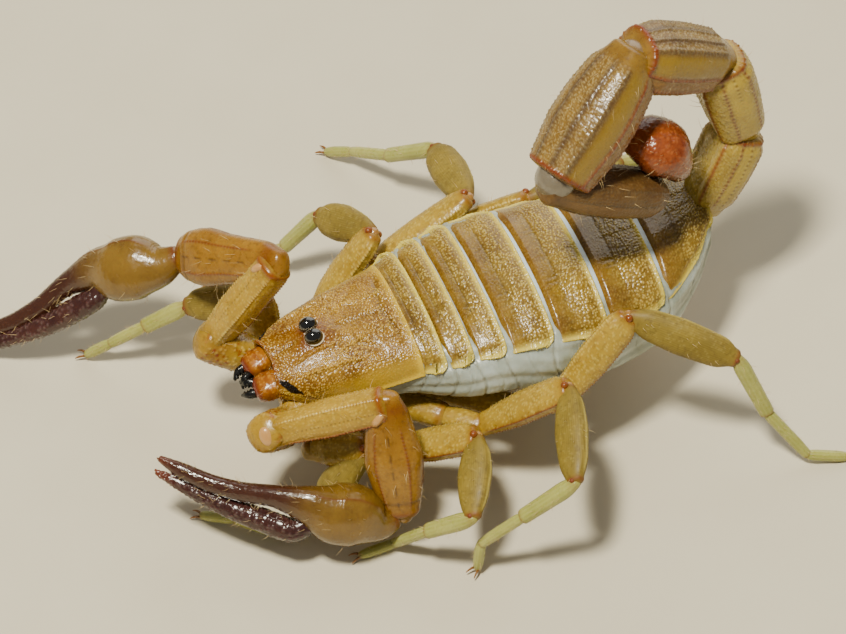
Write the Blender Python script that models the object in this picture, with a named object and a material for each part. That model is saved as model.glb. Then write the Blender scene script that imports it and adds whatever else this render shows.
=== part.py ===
"""A thick-tailed desert scorpion at life size, as a still museum model.

The animal stands on eight feet with its pincers held low in front and its tail arched over the
back, the sting folded against the last tail segment.  Every plate of the armour that a reader
would name is its own closed solid.  Most are tubes of rings: a limb article is a tube carried
along its axis and cut at each hinge to the plane that halves the bend, and the trunk is one
long barrel parted by thin cuts into its seven segments.

Sizes below are in millimetres and angles in degrees; MM turns millimetres into metres.  While
the animal is laid out +X is forward, +Y its left and +Z up, with z = 0 on the floor.
"""
import bpy
import numpy as np

MM = 0.001
FORWARD = np.array((1.0, 0.0, 0.0))
LEFT = np.array((0.0, 1.0, 0.0))
UP = np.array((0.0, 0.0, 1.0))

# ---- spacing ------------------------------------------------------------------------------
JOINT_GAP = 0.16        # clear space left between two neighbouring articles
SEGMENT_GAP = 0.12      # clear space between two slices of the trunk
SIDES = 12              # corners of every ring
ROUND = 2.0             # power of a ring that is an ellipse
BOXY = 2.3              # power of the rings of a limb
DOME = 0.22             # how far a free end domes, as a share of its least half size
LOW_DOME = 0.02         # how far a cut end domes
MITRE_MOST = 42         # steepest slope of a cut end
END_CLEAR = 0.08        # from the inner corner of a cut end to the next ring

# ---- trunk --------------------------------------------------------------------------------
# stations along the trunk, front to rear:
#   x, half width on the left, half width on the right, back height, belly height
TRUNK = (
    (6.65, 1.65, 1.65, 7.02, 5.45),
    (6.15, 2.00, 2.00, 7.28, 5.20),
    (5.20, 2.48, 2.48, 7.52, 4.75),
    (3.50, 2.98, 2.98, 7.80, 4.55),
    (0.00, 3.72, 3.72, 8.05, 4.50),
    (-2.00, 4.80, 4.50, 8.20, 4.50),
    (-4.20, 5.20, 4.90, 8.35, 4.50),
    (-6.50, 5.20, 4.90, 8.45, 3.55),
    (-9.30, 5.00, 4.70, 8.40, 2.85),
    (-12.50, 4.60, 4.20, 8.20, 3.30),
    (-14.60, 3.30, 3.10, 8.05, 4.40),
    (-16.20, 1.70, 1.70, 7.95, 6.10),
)
CARAPACE_STATIONS = (6.65, 6.15, 5.2, 3.5, 1.7)
HEAD_DOME = 0.10            # how far the front face of the head domes
SEGMENT_ENDS = (-1.2, -2.5, -4.1, -6.5, -9.3, -12.5, -16.2)     # rear edge of segments 1 to 7
TRUNK_POWER = 2.5           # 2 is an ellipse, larger is boxier
WIDEST_LINE = 0.35          # height of the widest line, from belly to back
TAIL_SWAY = -0.75           # how far the rear end of the trunk swings to the right
SWAY_START = -9.0           # where along the trunk that swing begins
REAR_LEAN = 0.60            # forward lean of the rear face, per unit of height

# ---- head ---------------------------------------------------------------------------------
EYE_PLACE = (4.37, 0.37, 8.03)      # the left of the two middle eyes
EYE_HALF = (0.46, 0.34, 0.38)       # half length, half breadth, half height
EYE_LIFTS = (-42, -10, 25, 58)      # angles of an eye's rings above its widest line
CHELICERA_ROOT = (6.86, 0.76, 5.90)
CHELICERA_HEADING = (-6, -12)
CHELICERA_LENGTH = 1.45
CHELICERA_HALF = (0.66, 0.56)       # half breadth, half thickness

# ---- combs under the belly ----------------------------------------------------------------
COMB_ROOT = (-3.3, 0.75)
COMB_TIP = (-6.1, 3.9)
COMB_DROP = 0.60                    # below the belly
COMB_HALF = (0.55, 0.27)

# ---- tail: length, turn and lift of each segment, half breadth and half height ------------
TAIL_ROOT = (-16.5, -0.75, 7.2)
TAIL = (
    ("metasoma_1", 4.5, -161, 61, 1.40, 1.40),
    ("metasoma_2", 5.2, -22, 77, 1.50, 1.50),
    ("metasoma_3", 5.6, 8, 33, 1.60, 1.60),
    ("metasoma_4", 7.4, 27, -35, 1.80, 1.75),
    ("metasoma_5", 7.5, -176, -31, 1.30, 1.12),
)
TELSON_LENGTH = 3.9
TELSON_HEADING = (-29, 42)
TELSON_HALF = (1.40, 1.20)
TELSON_BULB = ((0.06, 0.34), (0.22, 0.78), (0.45, 1.00), (0.68, 0.90), (0.88, 0.56), (1.0, 0.28))
TELSON_POWER = 2.1
TELSON_DOME = 0.09          # how far its two ends dome
TELSON_HANG = 0.75          # the bulb hangs this far to its under side
TELSON_HINGE = 1.10         # its hinge sits this far above the middle of the last segment
TELSON_GAP = 0.55           # the last segment stops this far short of the hinge
STING_LENGTH = 2.1
STING_CURL = 100            # degrees that the sting curls over its length
STING_STEPS = 4
STING_HALF = (0.33, 0.25)   # half thickness at its base and its tip

# ---- pincer arms: first point, then (length, turn left arm, lift left, turn right, lift right)
ARM_ROOT = (6.5, 2.3, 4.4)
ARM = (
    ("trochanter", 2.4, 38, 41, -21, 30),
    ("femur", 5.9, 161, 17, 174, 55),
    ("patella", 6.3, 89, -65, -55, -28),
    ("hand", 5.4, -14, 15, -28, -29),
    ("finger", 7.4, -42, 5, -17, -35),
)
FINGER_PART = {1: (0.95, 0.40), -1: (0.86, 0.38)}   # half space between fingers, root and tip
FINGER_BOW = 0.70           # how far both fingers bow towards their under side
FINGER_HALF = (0.45, 0.28)  # half thickness at the root and the tip

# ---- legs: where the coxa starts (x, y, z), then article lengths, front pair to hind pair --
LEG_ROOTS = ((5.3, 1.3, 3.3), (3.6, 1.3, 3.2), (1.6, 1.3, 3.1), (-0.6, 1.2, 3.1))
LEG_LENGTHS = (
    (1.2, 1.1, 3.1, 4.1, 2.5, 2.3, 1.8),
    (2.4, 1.6, 4.5, 4.3, 2.9, 2.7, 1.8),
    (3.6, 2.0, 5.5, 5.2, 3.5, 2.9, 1.8),
    (5.2, 2.3, 5.5, 5.7, 3.7, 3.3, 2.1),
)
# turn and lift of coxa, trochanter, femur, patella, tibia, first and last foot article; the
# last foot article takes whatever lift brings it to the floor
LEG_POSES = {
    "leg_1_left": ((103, 1), (47, -3), (142, 25), (2, -54), (7, -17), (-44, 0), (-37, 0)),
    "leg_1_right": ((-103, 3), (-46, -18), (-112, 61), (-30, -20), (-19, -34), (-26, -40), (-32, 0)),
    "leg_2_left": ((109, 5), (139, -20), (143, 30), (65, -12), (-37, -38), (-48, -48), (-2, 0)),
    "leg_2_right": ((-112, 3), (-112, 0), (-167, 44), (-66, -26), (-19, -53), (-7, -25), (-16, 0)),
    "leg_3_left": ((133, 7), (134, 7), (152, 39), (71, -8), (-18, -44), (-21, -46), (25, 0)),
    "leg_3_right": ((-127, 2), (-111, 27), (-179, 27), (-92, -20), (-53, -38), (-62, -33), (-50, 0)),
    "leg_4_left": ((134, 7), (150, 22), (-169, 43), (146, -20), (133, -64), (140, -50), (161, 0)),
    "leg_4_right": ((-139, 8), (-84, -7), (163, 24), (-167, -11), (-168, -27), (-169, -33), (-173, 0)),
}
FOOT_HEIGHT = 0.22          # where the middle line of a foot ends, above the floor
SOLE = 0.22                 # half size of the flat under each foot
SOLE_CLEAR = 0.03           # the rest of a foot stays this far above the floor

# half depth (in the plane the limb bends in) and half thickness of the limb articles
LEG_HALF = {
    "coxa": (0.68, 0.66), "trochanter": (0.56, 0.54), "femur": (0.82, 0.52),
    "patella": (0.84, 0.54), "tibia": (0.44, 0.36), "tarsus": (0.29, 0.28),
}
ARM_HALF = {
    "trochanter": (1.00, 0.92), "femur": (0.86, 0.82), "patella": (1.38, 0.98),
    "hand": (1.70, 1.36),
}
COXA_START = 0.7            # size of a coxa's inner end, as a share of its fullest part
COXA_FULL = (0.35, 0.9)     # where along a coxa it is at its fullest
HIP = 0.86                  # size of a limb at its bend from trochanter to femur, likewise
FEMUR_SWELL = ((0.0, 0.84), (0.5, 1.0), (1.0, 0.97))
KNEE = 0.62                 # size of a limb at its bend from femur to patella
ARM_TROCHANTER_SWELL = ((0.4, 0.95), (0.95, 1.0))
FOOT_HINGES = (0.85, 1.0, 0.9)      # sizes of a foot at its ankle, its bend and its end
FOOT_SWELL = (((0.2, 1.0), (0.8, 0.95)), ((0.2, 1.0), (0.6, 1.0)))

# swelling of an article along its length: size at its first hinge, (share of the length clear
# of both hinges, size) between them, and size at its second hinge
SWELL = {
    "patella": (0.50, ((0.06, 0.82), (0.45, 1.0), (0.92, 0.84)), 0.46),
    "tibia": (0.78, ((0.1, 1.0), (0.8, 0.90)), 0.72),
    "arm_patella": (0.52, ((0.06, 0.84), (0.5, 1.0), (0.95, 0.86)), 0.46),
    "tail": (0.70, ((0.0, 0.86), (0.5, 0.98), (1.0, 1.00)), 0.80),
    "last_tail": (0.70, ((0.0, 0.88), (0.4, 1.0), (0.85, 0.90)), 0.62),
    "comb": (0.70, ((0.3, 1.0), (0.75, 0.90)), 0.60),
    "chelicera": (0.84, ((0.3, 1.0), (0.7, 0.90)), 0.52),
}
HAND_SWELL = ((0.24, 0.60, -0.30), (0.46, 0.96, 0.0), (0.70, 0.94, 0.1), (0.90, 0.60, 0.45))
HAND_START = 0.36
FINGER_STATIONS = (0.0, 0.18, 0.40, 0.62, 0.82, 1.0)

# ---- finish: colour, roughness -------------------------------------------------------------
FINISH = {
    "amber": ((0.62, 0.33, 0.07), 0.35),
    "trunk": ((0.52, 0.32, 0.10), 0.40),
    "leg": ((0.68, 0.48, 0.14), 0.35),
    "wine": ((0.12, 0.03, 0.035), 0.25),
    "tail": ((0.42, 0.22, 0.06), 0.35),
    "dark_tail": ((0.16, 0.08, 0.035), 0.40),
    "telson": ((0.35, 0.04, 0.015), 0.25),
    "eye": ((0.01, 0.01, 0.01), 0.08),
    "comb": ((0.72, 0.55, 0.28), 0.45),
}


def clear_scene():
    """Remove every object that the start-up scene holds."""
    for thing in list(bpy.data.objects):
        bpy.data.objects.remove(thing, do_unlink=True)


def finish_material(kind):
    """The Principled material of one finish, made once and shared."""
    material = bpy.data.materials.get(kind)
    if material is None:
        colour, roughness = FINISH[kind]
        material = bpy.data.materials.new(kind)
        material.use_nodes = True
        shader = material.node_tree.nodes["Principled BSDF"]
        shader.inputs["Base Color"].default_value = (*colour, 1.0)
        shader.inputs["Roughness"].default_value = roughness
        shader.inputs["Metallic"].default_value = 0.0
    return material


# ---- directions and chains -----------------------------------------------------------------
def unit(vector):
    """The vector at length one."""
    return vector / np.linalg.norm(vector)


def square_to(vector, axis):
    """The part of a direction that is square to an axis, at length one."""
    return unit(vector - axis * (vector @ axis))


def heading(turn, lift):
    """Unit direction of a turn from +X towards +Y and a lift above the level."""
    turn, lift = np.radians((turn, lift))
    return np.array((np.cos(lift) * np.cos(turn), np.cos(lift) * np.sin(turn), np.sin(lift)))


def half_bend(before, after):
    """Half the angle between two directions, in radians."""
    return np.arccos(np.clip(before @ after, -1, 1)) / 2


def carried(side, before, after):
    """A direction turned by the smallest turn that carries one axis on to another."""
    hinge = np.cross(before, after)
    turned = np.cross(hinge, side)
    return side + turned + np.cross(hinge, turned) / (1 + before @ after)


def chain(root, steps):
    """Joint points of a limb: root, then each (length, (turn, lift)) laid end to end."""
    points = [np.array(root, dtype=float)]
    for length, (turn, lift) in steps:
        points.append(points[-1] + length * heading(turn, lift))
    return points


def axes_of(points):
    """Unit directions from each joint point to the next."""
    return [unit(b - a) for a, b in zip(points, points[1:])]


# ---- rings and tubes -----------------------------------------------------------------------
def ring(centre, across, up, half_across, half_up, power=BOXY):
    """Corners of a superellipse ring round a centre, in the plane of two directions."""
    angle = 2 * np.pi * np.arange(SIDES) / SIDES
    c, s = np.cos(angle), np.sin(angle)
    u = half_across * np.sign(c) * np.abs(c) ** (2 / power)
    v = half_up * np.sign(s) * np.abs(s) ** (2 / power)
    return centre + np.outer(u, across) + np.outer(v, up)


def cut_ring(corners, middle, axis, other, steepest):
    """Slide a ring's corners along the axis on to the plane that halves the bend there."""
    lean = min(half_bend(axis, other), np.radians(steepest))
    if lean < 1e-6:
        return corners
    plane = axis * np.cos(lean) + square_to(other, axis) * np.sin(lean)
    return corners - np.outer((corners - middle) @ plane / np.cos(lean), axis)


def tube(points, neighbours, side, hinges, stations):
    """Rings of a run of articles carried round its hinges and cut to meet its neighbours.

    neighbours are the directions of the articles before and after the run, None at a free end.
    hinges holds the half depth and half thickness at every point, stations the rings between
    two points as (share of the length clear of both bends, half depth, half thickness).
    """
    axes = axes_of(points)
    run = [axes[0] if neighbours[0] is None else neighbours[0], *axes]
    run.append(axes[-1] if neighbours[1] is None else neighbours[1])
    rings = []
    for k, axis in enumerate(axes):
        side = square_to(side, axis) if k == 0 else carried(side, axes[k - 1], axis)
        up = np.cross(axis, side)
        length = np.linalg.norm(points[k + 1] - points[k])
        ends = []
        bends = []
        for end, sign in ((0, 1), (1, -1)):
            deep, thick = hinges[k + end]
            other = run[k] if end == 0 else run[k + 2]
            half = half_bend(axis, other)
            outermost = k + end in (0, len(axes))
            steepest = MITRE_MOST if outermost else 90
            lean = min(half, np.radians(steepest))
            reach = max(deep, thick)
            back = reach * (np.tan(half) - np.tan(lean))
            if outermost and neighbours[end] is not None:
                back += JOINT_GAP / 2 / np.cos(lean)
            middle = points[k + end] + axis * back * sign
            ends.append(cut_ring(ring(middle, up, side, deep, thick), middle, axis, other, steepest))
            fullest = max([reach, *stations[k][-end][1:]]) if stations[k] else reach
            bends.append(fullest * np.tan(half) + END_CLEAR)
        if k == 0:
            rings.append(ends[0])
        for share, deep, thick in stations[k]:
            along = bends[0] + (length - bends[0] - bends[1]) * share
            rings.append(ring(points[k] + axis * along, up, side, deep, thick))
        rings.append(ends[1])
    return rings


def article(start, end, neighbours, side, halves, swell):
    """Rings of one straight article between two hinges."""
    deep, thick = halves
    first, between, last = swell
    hinges = ((deep * first, thick * first), (deep * last, thick * last))
    stations = [(share, deep * size, thick * size) for share, size in between]
    return tube((start, end), neighbours, side, hinges, (stations,))


def make_solid(name, rings, finish, domes=(LOW_DOME, LOW_DOME)):
    """Close a row of rings into one tube; domes are the heights of its two end caps."""
    ends = []
    for last, before, dome in ((rings[0], rings[1], domes[0]), (rings[-1], rings[-2], domes[1])):
        middle = last.mean(axis=0)
        ends.append(middle + unit(middle - before.mean(axis=0)) * dome)
    points = np.vstack([ends[0], *rings, ends[1]]) * MM
    top = len(points) - 1
    last = top - SIDES
    faces = []
    for k in range(SIDES):
        following = (k + 1) % SIDES
        faces.append((0, 1 + following, 1 + k))
        faces.append((top, last + k, last + following))
        for a in range(1, last, SIDES):
            b = a + SIDES
            faces.append((a + k, a + following, b + following, b + k))
    mesh = bpy.data.meshes.new(name)
    mesh.from_pydata(points.tolist(), [], faces)
    mesh.validate()
    mesh.shade_smooth()
    mesh.materials.append(finish_material(finish))
    thing = bpy.data.objects.new(name, mesh)
    bpy.context.collection.objects.link(thing)


def turn_outward(thing):
    """Flip a closed mesh whose faces point inward, judged by its signed volume."""
    mesh = thing.data
    mesh.calc_loop_triangles()
    co = np.array([v.co for v in mesh.vertices])
    tri = np.array([t.vertices for t in mesh.loop_triangles])
    a, b, c = co[tri[:, 0]], co[tri[:, 1]], co[tri[:, 2]]
    if np.einsum("ij,ij->i", a, np.cross(b, c)).sum() < 0:
        mesh.flip_normals()


# ---- trunk ---------------------------------------------------------------------------------
def trunk_sizes(x):
    """Half width left and right, back height and belly height at one place along the trunk."""
    table = np.array(TRUNK)[::-1]
    return [np.interp(x, table[:, 0], table[:, k]) for k in (1, 2, 3, 4)]


def trunk_ring(x):
    """One cross-section of the trunk: a domed back over a rounded belly."""
    left, right, back, belly = trunk_sizes(x)
    share = max(0.0, (SWAY_START - x) / (SWAY_START - SEGMENT_ENDS[-1]))
    middle_y = TAIL_SWAY * share ** 2
    middle_z = belly + WIDEST_LINE * (back - belly)
    angle = 2 * np.pi * np.arange(SIDES) / SIDES
    c, s = np.cos(angle), np.sin(angle)
    half_y = np.where(c > 0, left, right)
    half_z = np.where(s > 0, back - middle_z, middle_z - belly)
    y = middle_y + half_y * np.sign(c) * np.abs(c) ** (2 / TRUNK_POWER)
    z = middle_z + half_z * np.sign(s) * np.abs(s) ** (2 / TRUNK_POWER)
    return np.column_stack([np.full(SIDES, x), y, z])


def build_trunk():
    """The carapace over the head and the seven segments behind it."""
    rings = [trunk_ring(x) for x in (*CARAPACE_STATIONS, SEGMENT_GAP / 2)]
    make_solid("carapace", rings, "amber", (HEAD_DOME, LOW_DOME))
    front = -SEGMENT_GAP / 2
    for number, rear in enumerate(SEGMENT_ENDS, start=1):
        last = number == len(SEGMENT_ENDS)
        stations = np.linspace(front, rear + SEGMENT_GAP / 2, 4 if last else 3)
        rings = [trunk_ring(x) for x in stations]
        if last:
            rings[-1][:, 0] += REAR_LEAN * (rings[-1][:, 2] - rings[-1][:, 2].mean())
        make_solid(f"mesosoma_{number}", rings, "trunk")
        front = rear - SEGMENT_GAP / 2


def build_combs():
    """The pair of flat sensory combs that hang under the front of the belly."""
    for name, hand in (("pectine_left", 1), ("pectine_right", -1)):
        ends = []
        for x, y in (COMB_ROOT, COMB_TIP):
            ends.append(np.array((x, y * hand, trunk_sizes(x)[3] - COMB_DROP)))
        make_solid(name, article(*ends, (None, None), UP, COMB_HALF, SWELL["comb"]), "comb")


# ---- head ----------------------------------------------------------------------------------
def build_head():
    """The two middle eyes and the pair of small jaws under the front edge."""
    for name, hand in (("left", 1), ("right", -1)):
        x, y, z = EYE_PLACE
        long, broad, high = EYE_HALF
        rings = []
        for tilt in np.radians(EYE_LIFTS):
            centre = np.array((x, y * hand, z + high * np.sin(tilt)))
            rings.append(ring(centre, FORWARD, LEFT, long * np.cos(tilt), broad * np.cos(tilt), ROUND))
        make_solid(f"eye_{name}", rings, "eye", (DOME * broad, DOME * high))
        x, y, z = CHELICERA_ROOT
        turn, lift = CHELICERA_HEADING
        root = np.array((x, y * hand, z))
        end = root + CHELICERA_LENGTH * heading(turn * hand, lift)
        halves = CHELICERA_HALF[::-1]
        rings = article(root, end, (None, None), LEFT, halves, SWELL["chelicera"])
        make_solid(f"chelicera_{name}", rings, "amber", (LOW_DOME, DOME * halves[0]))


# ---- tail ----------------------------------------------------------------------------------
def build_tail():
    """Five tail segments, each hinged to the last, and the bulb with its sting."""
    points = chain(TAIL_ROOT, [(row[1], row[2:4]) for row in TAIL])
    axes = [-FORWARD, *axes_of(points), None]
    for k, (name, _, _, _, half_wide, half_high) in enumerate(TAIL):
        last = k == len(TAIL) - 1
        end = points[k + 1] - axes[k + 1] * TELSON_GAP if last else points[k + 1]
        swell = SWELL["last_tail" if last else "tail"]
        rings = article(points[k], end, (axes[k], axes[k + 2]), LEFT, (half_high, half_wide), swell)
        make_solid(name, rings, "dark_tail" if last else "tail")
    build_telson(points[-1], axes[-2])


def build_telson(last_point, last_axis):
    """The poison bulb, flat above and full below, drawn out into the curled sting."""
    axis = heading(*TELSON_HEADING)
    side = square_to(LEFT, axis)
    under = np.cross(axis, side)
    start = last_point + unit(np.cross(LEFT, last_axis)) * TELSON_HINGE
    rings = []
    for share, size in TELSON_BULB:
        centre = start + axis * TELSON_LENGTH * share + under * TELSON_HANG * np.sin(np.pi * share)
        rings.append(ring(centre, side, under, *scaled(TELSON_HALF, size), TELSON_POWER))
    centre = rings[-1].mean(axis=0)
    for share in np.arange(1, STING_STEPS + 1) / STING_STEPS:
        curl = np.radians(STING_CURL * share)
        centre = centre + (axis * np.cos(curl) + under * np.sin(curl)) * STING_LENGTH / STING_STEPS
        inward = under * np.cos(curl) - axis * np.sin(curl)
        half = STING_HALF[0] + (STING_HALF[1] - STING_HALF[0]) * share
        rings.append(ring(centre, side, inward, half, half, ROUND))
    make_solid("telson", rings, "telson", (TELSON_DOME, TELSON_DOME))


# ---- limbs ---------------------------------------------------------------------------------
def scaled(halves, size):
    """A half depth and half thickness, both taken at one size."""
    return halves[0] * size, halves[1] * size


def build_leg(name, root, lengths, pose):
    """One walking leg: coxa to femur in one solid, then patella, tibia and foot."""
    steps = list(zip(lengths, pose))
    points = chain(root, steps[:-1])
    drop = np.arcsin(np.clip((FOOT_HEIGHT - points[-1][2]) / lengths[-1], -1, 1))
    points.append(points[-1] + lengths[-1] * heading(pose[-1][0], np.degrees(drop)))
    axes = axes_of(points)
    side = unit(np.cross(axes[2], axes[3]))
    coxa, hip, femur = LEG_HALF["coxa"], LEG_HALF["trochanter"], LEG_HALF["femur"]
    hinges = (scaled(coxa, COXA_START), scaled(coxa, HIP), scaled(hip, HIP), scaled(femur, KNEE))
    stations = (
        [(share, *coxa) for share in COXA_FULL],
        [(0.5, *hip)],
        [(share, *scaled(femur, size)) for share, size in FEMUR_SWELL],
    )
    inner_side = carried(carried(side, axes[2], axes[1]), axes[1], axes[0])
    rings = tube(points[:4], (None, axes[3]), inner_side, hinges, stations)
    make_solid(f"{name}_femur", rings, "leg", (DOME * coxa[0], LOW_DOME))
    for part, k in (("patella", 3), ("tibia", 4)):
        neighbours = (axes[k - 1], axes[k + 1])
        rings = article(points[k], points[k + 1], neighbours, side, LEG_HALF[part], SWELL[part])
        make_solid(f"{name}_{part}", rings, "leg")
    build_foot(f"{name}_tarsus", points[5:], axes[4], heading(pose[-1][0], 0))


def build_foot(name, points, tibia_axis, forward):
    """The two foot articles in one solid, turned down on to a small flat sole."""
    half = LEG_HALF["tarsus"]
    hinges = [scaled(half, size) for size in FOOT_HINGES]
    stations = [[(share, *scaled(half, size)) for share, size in swell] for swell in FOOT_SWELL]
    side = square_to(np.cross(forward, UP), unit(points[1] - points[0]))
    rings = tube(points, (tibia_axis, None), side, hinges, stations)
    rings.pop()
    for corners in rings:
        corners[:, 2] = np.maximum(corners[:, 2], SOLE_CLEAR)
    middle = points[2] * (1, 1, 0)
    last_axis = unit(points[2] - points[1])
    last_side = carried(side, unit(points[1] - points[0]), last_axis)
    sole_side = unit(last_side * (1, 1, 0))
    rings.append(ring(middle, np.cross(-UP, sole_side), sole_side, SOLE, SOLE))
    make_solid(name, rings, "leg", (LOW_DOME, 0.0))


def build_arm(hand):
    """One pincer arm: trochanter and femur, patella, hand with fixed finger, moving finger."""
    name = "palp_left" if hand > 0 else "palp_right"
    x, y, z = ARM_ROOT
    steps = [(row[1], row[2:4] if hand > 0 else row[4:6]) for row in ARM]
    points = chain((x, y * hand, z), steps)
    axes = axes_of(points)
    side = unit(np.cross(axes[1], axes[2])) * -hand
    hip, femur = ARM_HALF["trochanter"], ARM_HALF["femur"]
    hinges = (scaled(hip, COXA_START), scaled(hip, HIP), scaled(femur, KNEE))
    stations = (
        [(share, *scaled(hip, size)) for share, size in ARM_TROCHANTER_SWELL],
        [(share, *scaled(femur, size)) for share, size in FEMUR_SWELL],
    )
    rings = tube(points[:3], (None, axes[2]), carried(side, axes[1], axes[0]), hinges, stations)
    make_solid(f"{name}_femur", rings, "amber", (DOME * hip[0], LOW_DOME))
    neighbours = (axes[1], axes[3])
    halves = ARM_HALF["patella"]
    rings = article(points[2], points[3], neighbours, side, halves, SWELL["arm_patella"])
    make_solid(f"{name}_patella", rings, "amber")
    build_pincer(name, points[3:], axes[2], side, FINGER_PART[hand])


def finger_rings(knuckle, tip, side, root_part, tip_part, shares):
    """Rings of one finger, standing off the line from knuckle to tip and bowed to its under side."""
    axis = unit(tip - knuckle)
    side = square_to(side, axis)
    up = np.cross(axis, side)
    rings = []
    for share in shares:
        rise = root_part + (tip_part - root_part) * share - FINGER_BOW * np.sin(np.pi * share)
        half = FINGER_HALF[0] + (FINGER_HALF[1] - FINGER_HALF[0]) * share
        rings.append(ring(knuckle + (tip - knuckle) * share + up * rise, up, side, half, half))
    return rings


def build_pincer(name, points, patella_axis, side, part):
    """The swollen hand drawn out into its fixed finger, and the finger that closes on it."""
    wrist, knuckle, tip = points
    axis = unit(knuckle - wrist)
    across = square_to(side, axis)
    up = np.cross(axis, across)
    halves = ARM_HALF["hand"]
    hinges = (scaled(halves, HAND_START), scaled(halves, HAND_START))
    rings = tube((wrist, knuckle), (patella_axis, None), side, hinges, ((),))[:1]
    for share, size, rise in HAND_SWELL:
        centre = wrist + (knuckle - wrist) * share + up * rise
        rings.append(ring(centre, up, across, *scaled(halves, size)))
    rings += finger_rings(knuckle, tip, side, part[0], part[1], FINGER_STATIONS[1:])
    make_solid(f"{name}_hand", rings, "amber", (LOW_DOME, DOME * FINGER_HALF[1]))
    rings = finger_rings(knuckle, tip, side, -part[0], -part[1], FINGER_STATIONS)
    make_solid(f"{name}_finger", rings, "wine", (DOME * FINGER_HALF[0], DOME * FINGER_HALF[1]))


def build_limbs():
    """Both pincer arms and all eight legs."""
    for hand, word in ((1, "left"), (-1, "right")):
        build_arm(hand)
        for pair, ((x, y, z), lengths) in enumerate(zip(LEG_ROOTS, LEG_LENGTHS), start=1):
            name = f"leg_{pair}_{word}"
            build_leg(name, (x, y * hand, z), lengths, LEG_POSES[name])


def stand_at_origin():
    """Move everything so that the origin is at the middle of the model's footprint."""
    things = list(bpy.data.objects)
    corners = np.vstack([[v.co for v in thing.data.vertices] for thing in things])
    low, high = corners.min(axis=0), corners.max(axis=0)
    shift = np.array(((low[0] + high[0]) / 2, (low[1] + high[1]) / 2, low[2]))
    for thing in things:
        count = len(thing.data.vertices)
        flat = np.empty(count * 3)
        thing.data.vertices.foreach_get("co", flat)
        thing.data.vertices.foreach_set("co", (flat.reshape(-1, 3) - shift).ravel())
        thing.data.update()


clear_scene()
build_trunk()
build_combs()
build_head()
build_tail()
build_limbs()
for solid in bpy.data.objects:
    turn_outward(solid)
stand_at_origin()
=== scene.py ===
import bmesh
import bpy
import numpy as np
from mathutils import Matrix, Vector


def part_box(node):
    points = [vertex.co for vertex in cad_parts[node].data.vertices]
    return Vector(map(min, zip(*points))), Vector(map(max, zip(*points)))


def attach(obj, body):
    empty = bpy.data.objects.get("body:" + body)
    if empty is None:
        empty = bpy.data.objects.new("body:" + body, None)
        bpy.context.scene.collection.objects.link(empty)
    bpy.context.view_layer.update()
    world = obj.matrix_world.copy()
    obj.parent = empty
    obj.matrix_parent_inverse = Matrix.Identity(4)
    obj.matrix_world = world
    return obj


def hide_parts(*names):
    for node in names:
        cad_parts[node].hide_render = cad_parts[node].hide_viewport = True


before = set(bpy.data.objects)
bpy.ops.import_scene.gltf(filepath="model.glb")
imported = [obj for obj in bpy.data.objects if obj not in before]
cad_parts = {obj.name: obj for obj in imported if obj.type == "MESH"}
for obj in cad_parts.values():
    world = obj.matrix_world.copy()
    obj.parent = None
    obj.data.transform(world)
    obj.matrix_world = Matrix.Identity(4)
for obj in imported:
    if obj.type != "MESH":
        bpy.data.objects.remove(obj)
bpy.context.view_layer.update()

# ---- Stand ----
# The model stands on a plain pale board.  One soft lamp hangs beside the lens as the main light,
# a wide one fills from above and a low one lifts the far edges.
MM = 0.001
FORWARD, LEFT, UP = np.eye(3)
HEAD_FRONT = 6.75                  # front of the head plate, ahead of the waist
head_low, head_high = (np.array(corner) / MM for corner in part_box("carapace"))
HOME = np.array((head_high[0] - HEAD_FRONT, (head_low[1] + head_high[1]) / 2, 0.0))
VIEW_TURN, VIEW_LIFT, VIEW_ROLL = np.radians((69.5, 51.5, -1.5))
VIEW_CENTRE = np.array((-0.94, 1.22, 8.0))
VIEW_DISTANCE = 330.0
LENS = 292.1
# each lamp: direction (across, up, towards the lens), distance, width, power, colour
LAMPS = dict(key=((-0.20, 0.42, 0.88), 300.0, 42.0, 1.42, (1.0, 0.96, 0.80)),
             fill=((0.25, 1.00, -0.10), 420.0, 420.0, 1.05, (1.0, 0.98, 0.90)),
             edge=((0.90, 0.35, -0.75), 380.0, 160.0, 0.7, (1.0, 0.95, 0.86)))
SKY = (1.0, 0.98, 0.92, 1.0)
SKY_STRENGTH = 0.22
FLOOR_HALF = 1500.0


def unit(vector):
    """The vector at length one."""
    return vector / np.linalg.norm(vector)


def hung(name, data, centre, right, back):
    """Hang a camera or lamp at a place, its right and back sides along two directions."""
    thing = bpy.data.objects.new(name, data)
    bpy.context.scene.collection.objects.link(thing)
    turn = Matrix(np.column_stack([right, np.cross(back, right), back]).tolist()).to_4x4()
    turn.translation = (centre + HOME) * MM
    thing.matrix_world = turn
    return thing


spot = np.array((np.cos(VIEW_TURN), np.sin(VIEW_TURN), 0.0))
level = np.cross(UP, spot)
toward = np.cos(VIEW_LIFT) * spot + np.sin(VIEW_LIFT) * UP
across = level * np.cos(VIEW_ROLL) + np.cross(toward, level) * np.sin(VIEW_ROLL)
lens = bpy.data.cameras.new("view")
lens.lens = LENS
lens.clip_start = 0.01
lens.clip_end = 20.0
camera = hung("view", lens, VIEW_CENTRE + toward * VIEW_DISTANCE, across, toward)
bpy.context.scene.camera = camera
for lamp_name, (aim, distance, width, power, colour) in LAMPS.items():
    lamp = bpy.data.lights.new(lamp_name, "AREA")
    lamp.size = width * MM
    lamp.energy = power
    lamp.color = colour
    back = unit(across * aim[0] + np.cross(toward, across) * aim[1] + toward * aim[2])
    hung(lamp_name, lamp, VIEW_CENTRE + back * distance, unit(np.cross(UP, back)), back)
world = bpy.data.worlds.new("studio")
world.use_nodes = True
world.node_tree.nodes["Background"].inputs["Color"].default_value = SKY
world.node_tree.nodes["Background"].inputs["Strength"].default_value = SKY_STRENGTH
bpy.context.scene.world = world


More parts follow.
